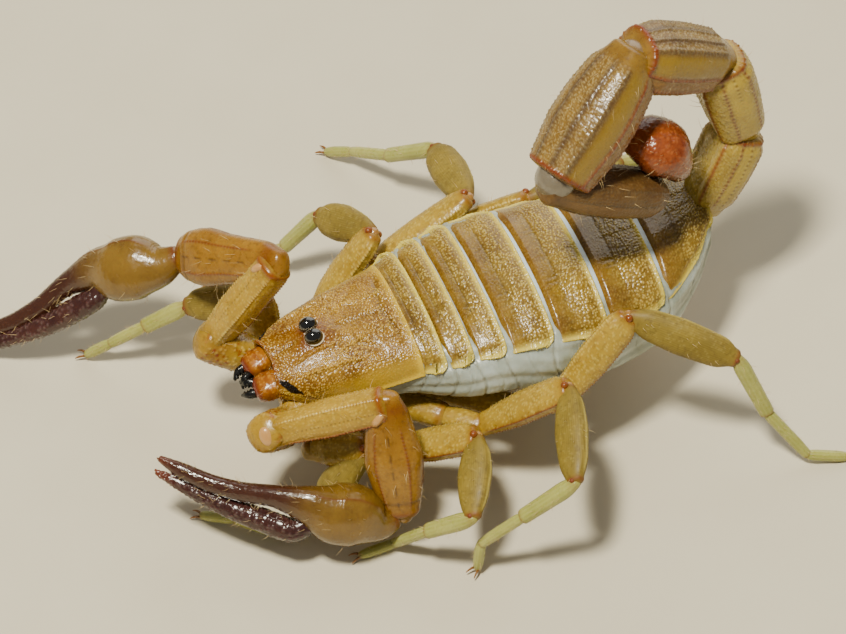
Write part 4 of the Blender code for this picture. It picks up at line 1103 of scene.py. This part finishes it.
for leg, hand, seed in ((f"leg_{k}_{word}", hand, 400 + 10 * k + (hand > 0)) for k in (1, 2, 3, 4)
                        for word, hand in HANDS):
    solids = [rings_of(f"{leg}_femur", (2.5, 0.0, 3.2))]
    for part in ("patella", "tibia", "tarsus"):
        solids.append(rings_of(f"{leg}_{part}", centre_of(solids[-1][-1])))
    upper, shin, low_shin, foot = solids
    sole = np.concatenate(foot)
    sole = sole[sole[:, 2] < 0.01]
    if len(sole) < 4:
        sole = foot[-1]
    points = [centre_of(upper[0]), centre_of(upper[3]), centre_of(upper[5]), hinge(upper[6:], shin),
              hinge(shin, low_shin), hinge(low_shin, foot[:3]), centre_of(foot[3]),
              centre_of(sole) * (1, 1, 0) + 0.24 * UP]
    axes = [unit(b - a) for a, b in zip(points, points[1:])]
    side = unit(np.cross(axes[2], axes[3]))
    hip_side = carried(side, axes[2], axes[1])
    # coxa and trochanter
    tubes = []
    for k, rings, its_side, inward in ((0, upper[1:3], carried(hip_side, axes[1], axes[0]), -0.95),
                                       (1, upper[4:5], hip_side, -0.25)):
        part = article(rings, points[k], points[k + 1], its_side, ((inward, 0.72, 0.72), (0.2, 0.9, 0.9)),
                       ((-0.05, 0.96, 0.96), (0.35, 0.78, 0.78)), 0.09, 60, power=2.4, domes=(0.3, 0.35))
        coarse = part.grain(0.17, seed, 0.45)
        marks = dict(bead=0.5 * coarse, pale=0.08, dark=0.1, red=0.45 * bell(part.u, part.length, 0.2))
        tubes.append((part.raised(0.022 * coarse), marks))
    # femur and its hinge knobs
    thigh = article(upper[6:9], points[2], points[3], side, ((-0.25, 0.62, 0.72), (0.35, 0.86, 0.9)),
                    ((-0.55, 0.93, 0.98), (0.15, 0.60, 0.80)), 0.065, 84, power=2.5, domes=(0.3, 0.35))
    body = span(thigh.share, 0.06, 0.18, 0.88, 0.97)
    top, bottom = thigh.near(6.5, 22, -22), thigh.near(7.0, 158, -158)
    row, coarse = thigh.row(0.17), thigh.grain(0.15, seed + 1, 0.55)
    rim = bell(thigh.u, thigh.length - 0.05, 0.13)
    height = body * ((top + bottom) * (0.022 + 0.065 * row) + 0.026 * coarse) + 0.05 * rim
    marks = dict(bead=body * (top * row + 0.55 * coarse), pale=0.15 * body * thigh.near(45, 90, -90),
                 dark=0.30 * bottom * body * (1 - row), red=0.55 * rim + 0.85 * body * bottom)
    tubes.append((thigh.raised(height), marks))
    tubes += hinge_knobs(points[3] + axes[2] * 0.02, axes[2], side, thigh.last[2] * 0.66, (0.20,) * 3,
                         9, 16, bead=0.3, dark=0.35, red=0.85)
    make_piece(f"{leg}_upper", tubes, LEG_SHELL, "shell_leg", f"{leg}_femur")
    hair_beds.append((thigh.points, 18, 0.42))
    # patella and its hinge knobs
    oval = article(shin[1:4], points[3], points[4], side, ((-0.10, 0.38, 0.60), (0.55, 0.80, 0.86)),
                   ((-0.35, 0.66, 0.74), (0.12, 0.42, 0.55)), 0.07, 84, power=2.35, domes=(0.3, 0.25),
                   ease=0.35, fuller=1.09)
    body, edge = span(oval.share, 0.08, 0.22, 0.86, 0.96), oval.near(9, 0, 180)
    stria = stria_of(oval, 46, 2.0 * np.sin(oval.u * 1.7))
    row, coarse = oval.row(0.17), oval.grain(0.15, seed + 2, 0.35)
    rim = bell(oval.u, oval.length - 0.08, 0.12)
    height = body * (edge * (0.03 + 0.02 * row) + 0.010 * stria + 0.014 * coarse) + 0.035 * rim
    marks = dict(bead=body * (0.22 * coarse + 0.45 * edge * row), pale=body * (0.65 * edge + 0.12 * stria),
                 dark=0.10 * body * (1 - stria), red=0.6 * rim + 0.35 * bell(oval.share, 0, 0.04))
    tubes = hinge_knobs(points[4] - axes[3] * 0.05, axes[3], side, oval.last[2] * 0.48, (0.14, 0.15, 0.15),
                        8, 14, bead=0.2, dark=0.3, red=0.9)
    make_piece(f"{leg}_patella_shell", [(oval.raised(height), marks)] + tubes, SHANK_SHELL, "shell_leg",
               f"{leg}_patella")
    # tibia
    stick = article(low_shin[1:3], points[4], points[5], side, ((-0.12, 0.55, 0.60), (0.30, 0.88, 0.88)),
                    ((-0.12, 1.0, 1.0), (0.08, 0.82, 0.82)), 0.08, 48, domes=(0.2, 0.15), ease=0.2)
    stria, rim = stria_of(stick, 12), bell(stick.u, stick.length - 0.04, 0.10)
    marks = dict(bead=0.2 * stick.grain(0.14, seed + 3, 0.4), pale=0.3 * stria,
                 red=0.45 * rim + 0.25 * bell(stick.u, 0.0, 0.25))
    hair_beds += [(oval.points, 18, 0.36), (stick.points, 22, 0.34)]
    make_piece(f"{leg}_tibia_shell", [(stick.raised(0.012 * stria + 0.02 * rim), marks)], FOOT_SHELL,
               "shell_leg", f"{leg}_tibia")
    # foot: two joints, then claws
    ahead = unit(axes[6] * (1, 1, 0))
    foot_side = square_to(np.cross(ahead, UP), axes[5])
    tubes = []
    for k, half, its_side, final, beyond in ((5, 0.285, foot_side, 0.8, 0.06),
                                             (6, 0.265, carried(foot_side, axes[5], axes[6]), 0.62, 0.02)):
        length = np.linalg.norm(points[k + 1] - points[k])
        table = ((-0.06, half * 0.7, half * 0.7), (0.25, half, half * 0.96),
                 (length * 0.75, half * 0.98, half * 0.92), (length + beyond, half * final, half * final))
        part = Tube((points[k], points[k + 1]), its_side, table, 0.08, 40, power=2.2, domes=(0.15, 0.12),
                    ease=0.15)
        part.points[..., 2] = np.maximum(part.points[..., 2], FOOT_GAP)
        stria = stria_of(part, 10)
        marks = dict(bead=0.2 * part.grain(0.13, seed + 4 + k, 0.4), pale=0.35 * stria,
                     red=0.5 * bell(part.u, length - 0.02, 0.09))
        tubes.append((part.raised(0.012 * stria), marks))
        hair_beds.append((part.points, 22, 0.26))
    for flank in (1, -1):
        out = np.cross(UP, ahead) * flank
        root = points[7] - axes[6] * 0.10 + out * 0.08 - UP * 0.02
        line = [root + ahead * on + out * apart + UP * up for on, apart, up in CLAW_LINE]
        claw = Tube(line, out, CLAW_SIZES, 0.05, 12, power=2.0, domes=(0.05, 0.02), ease=0.08)
        claw.points[..., 2] = np.maximum(claw.points[..., 2], CLAW_GAP)
        tubes.append((claw.points, dict(dark=0.5, red=0.6)))
    make_piece(f"{leg}_foot", tubes, FOOT_SHELL, "shell_leg", f"{leg}_tarsus")
    for k, long, deep, tint in LEG_JOINTS:
        joint_balls.append((points[k], axes[k - 1] + axes[k], side, long, deep, long, tint))


# ---- Joint skin ----
# A cushion of pale, thin skin bulges in every hinge, between the hard rims of two articles.
joint_finish = Finish("joint_skin")
joint_colour = joint_finish.mix(joint_finish.stretch(joint_finish.noise(0.4, 3.0), 0.35, 0.65),
                                (128, 84, 26), (152, 108, 40))
joint_colour = joint_finish.mix(joint_finish.mark("pale"), joint_colour, (196, 146, 84))
joint_colour = joint_finish.mix(joint_finish.mark("grey"), joint_colour, (112, 106, 92))
joint_finish.set(Base_Color=joint_colour, Roughness=0.26, Subsurface_Weight=0.2,
                 Subsurface_Radius=(1.0, 0.7, 0.4), Subsurface_Scale=0.3 * MM, Coat_Weight=0.8,
                 Coat_Roughness=0.08)
joint_finish.bump(joint_finish.noise(0.30, 3.0), 0.6, 0.06)
tubes = [(ball(centre, axis, np.cross(unit(axis), square_to(side, unit(axis))), sizes, -84, 84, 15, 28),
          dict(pale=max(tint, 0.0), grey=max(-tint, 0.0)))
         for centre, axis, side, *sizes, tint in joint_balls]
make_piece("joint_skin", tubes, joint_finish, "comb_pale")


# ---- Bristles ----
# Fine clear-brown hairs stand scattered on limbs, jaws and tail, longest on the arms and shortest
# on the feet.  Each is a thin curved spine of three sides, its root sunk in the shell.
HAIR_STEPS = np.array((0.0, 0.30, 0.65, 1.0))
HAIR_TAPER = np.array((1.0, 0.80, 0.50, 0.12))
HAIR_HALF = 0.013
HAIR_GAP = 0.03                    # no hair comes nearer to the board
HAIR_ROOT = 0.03                   # how deep its root is sunk
HAIR_PATCH = 0.0015                # half size of a hair's patch in the flat map
hair_finish = Finish("bristle")
hair_finish.set(Base_Color=hair_finish.mix(hair_finish.noise(1.2), (206, 166, 96), (236, 216, 168)),
                Roughness=0.28, Coat_Weight=0.3, Coat_Roughness=0.1, IOR=1.5)


def to_one(vectors):
    """Each vector at length one."""
    return vectors / np.maximum(np.linalg.norm(vectors, axis=-1, keepdims=True), 1e-9)


bed_side = int(np.ceil(np.sqrt(len(hair_beds))))
hairs, flat = [], []
for number, (points, count, long) in enumerate(hair_beds):
    luck = np.random.default_rng(900 + number)
    n, m = points.shape[:2]
    i = luck.integers(int(n * 0.16), int(n * 0.92), count)
    j = luck.integers(0, m, count)
    size = long * luck.uniform(0.55, 1.15, count)[:, None]
    out = outward(points, wraps=True)[i, j]
    onward = to_one(np.gradient(points, axis=0))[i, j]
    way = to_one(out + 0.35 * onward + 0.22 * luck.normal(size=(count, 3)))
    spine = ((points[i, j] - out * HAIR_ROOT)[:, None] + way[:, None] * (size * HAIR_STEPS)[..., None]
             + (onward * size * 0.30)[:, None] * (HAIR_STEPS ** 2)[:, None])
    spine[..., 2] = np.maximum(spine[..., 2], HAIR_GAP)
    first = to_one(np.cross(way, onward))
    c, s = (one[:, None] for one in spokes(3))
    star = c * first[:, None] + s * np.cross(way, first)[:, None]
    hairs.append(spine[:, :, None] + star[:, None] * (HAIR_HALF * HAIR_TAPER)[:, None, None])
    # the flat map: every tube is laid out in its own square, along by round
    home = (np.array((number % bed_side, number // bed_side)) + 0.05
            + 0.9 * np.column_stack([i / n, j / m])) / bed_side
    flat.append(home[:, None, None] + np.column_stack([c, s]) * (HAIR_PATCH * HAIR_TAPER)[:, None, None])
hairs, flat = np.concatenate(hairs), np.concatenate(flat).reshape(-1, 2)
index = np.arange(hairs[..., 0].size).reshape(hairs.shape[:3])
after = np.roll(index, -1, axis=2)
quads = np.stack([index[:, :-1], after[:, :-1], after[:, 1:], index[:, 1:]], -1).reshape(-1, 4)
caps = np.concatenate([index[:, 0, ::-1], index[:, -1]])
corners = np.concatenate([quads.ravel(), caps.ravel()])
bristles = build("bristles", (hairs.reshape(-1, 3) + HOME) * MM, corners,
                 np.repeat((4, 3), (len(quads), len(caps))), hair_finish)
bristles.data.uv_layers.new(name="OFBake").data.foreach_set("uv", flat[corners].ravel())
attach(bristles, "root")
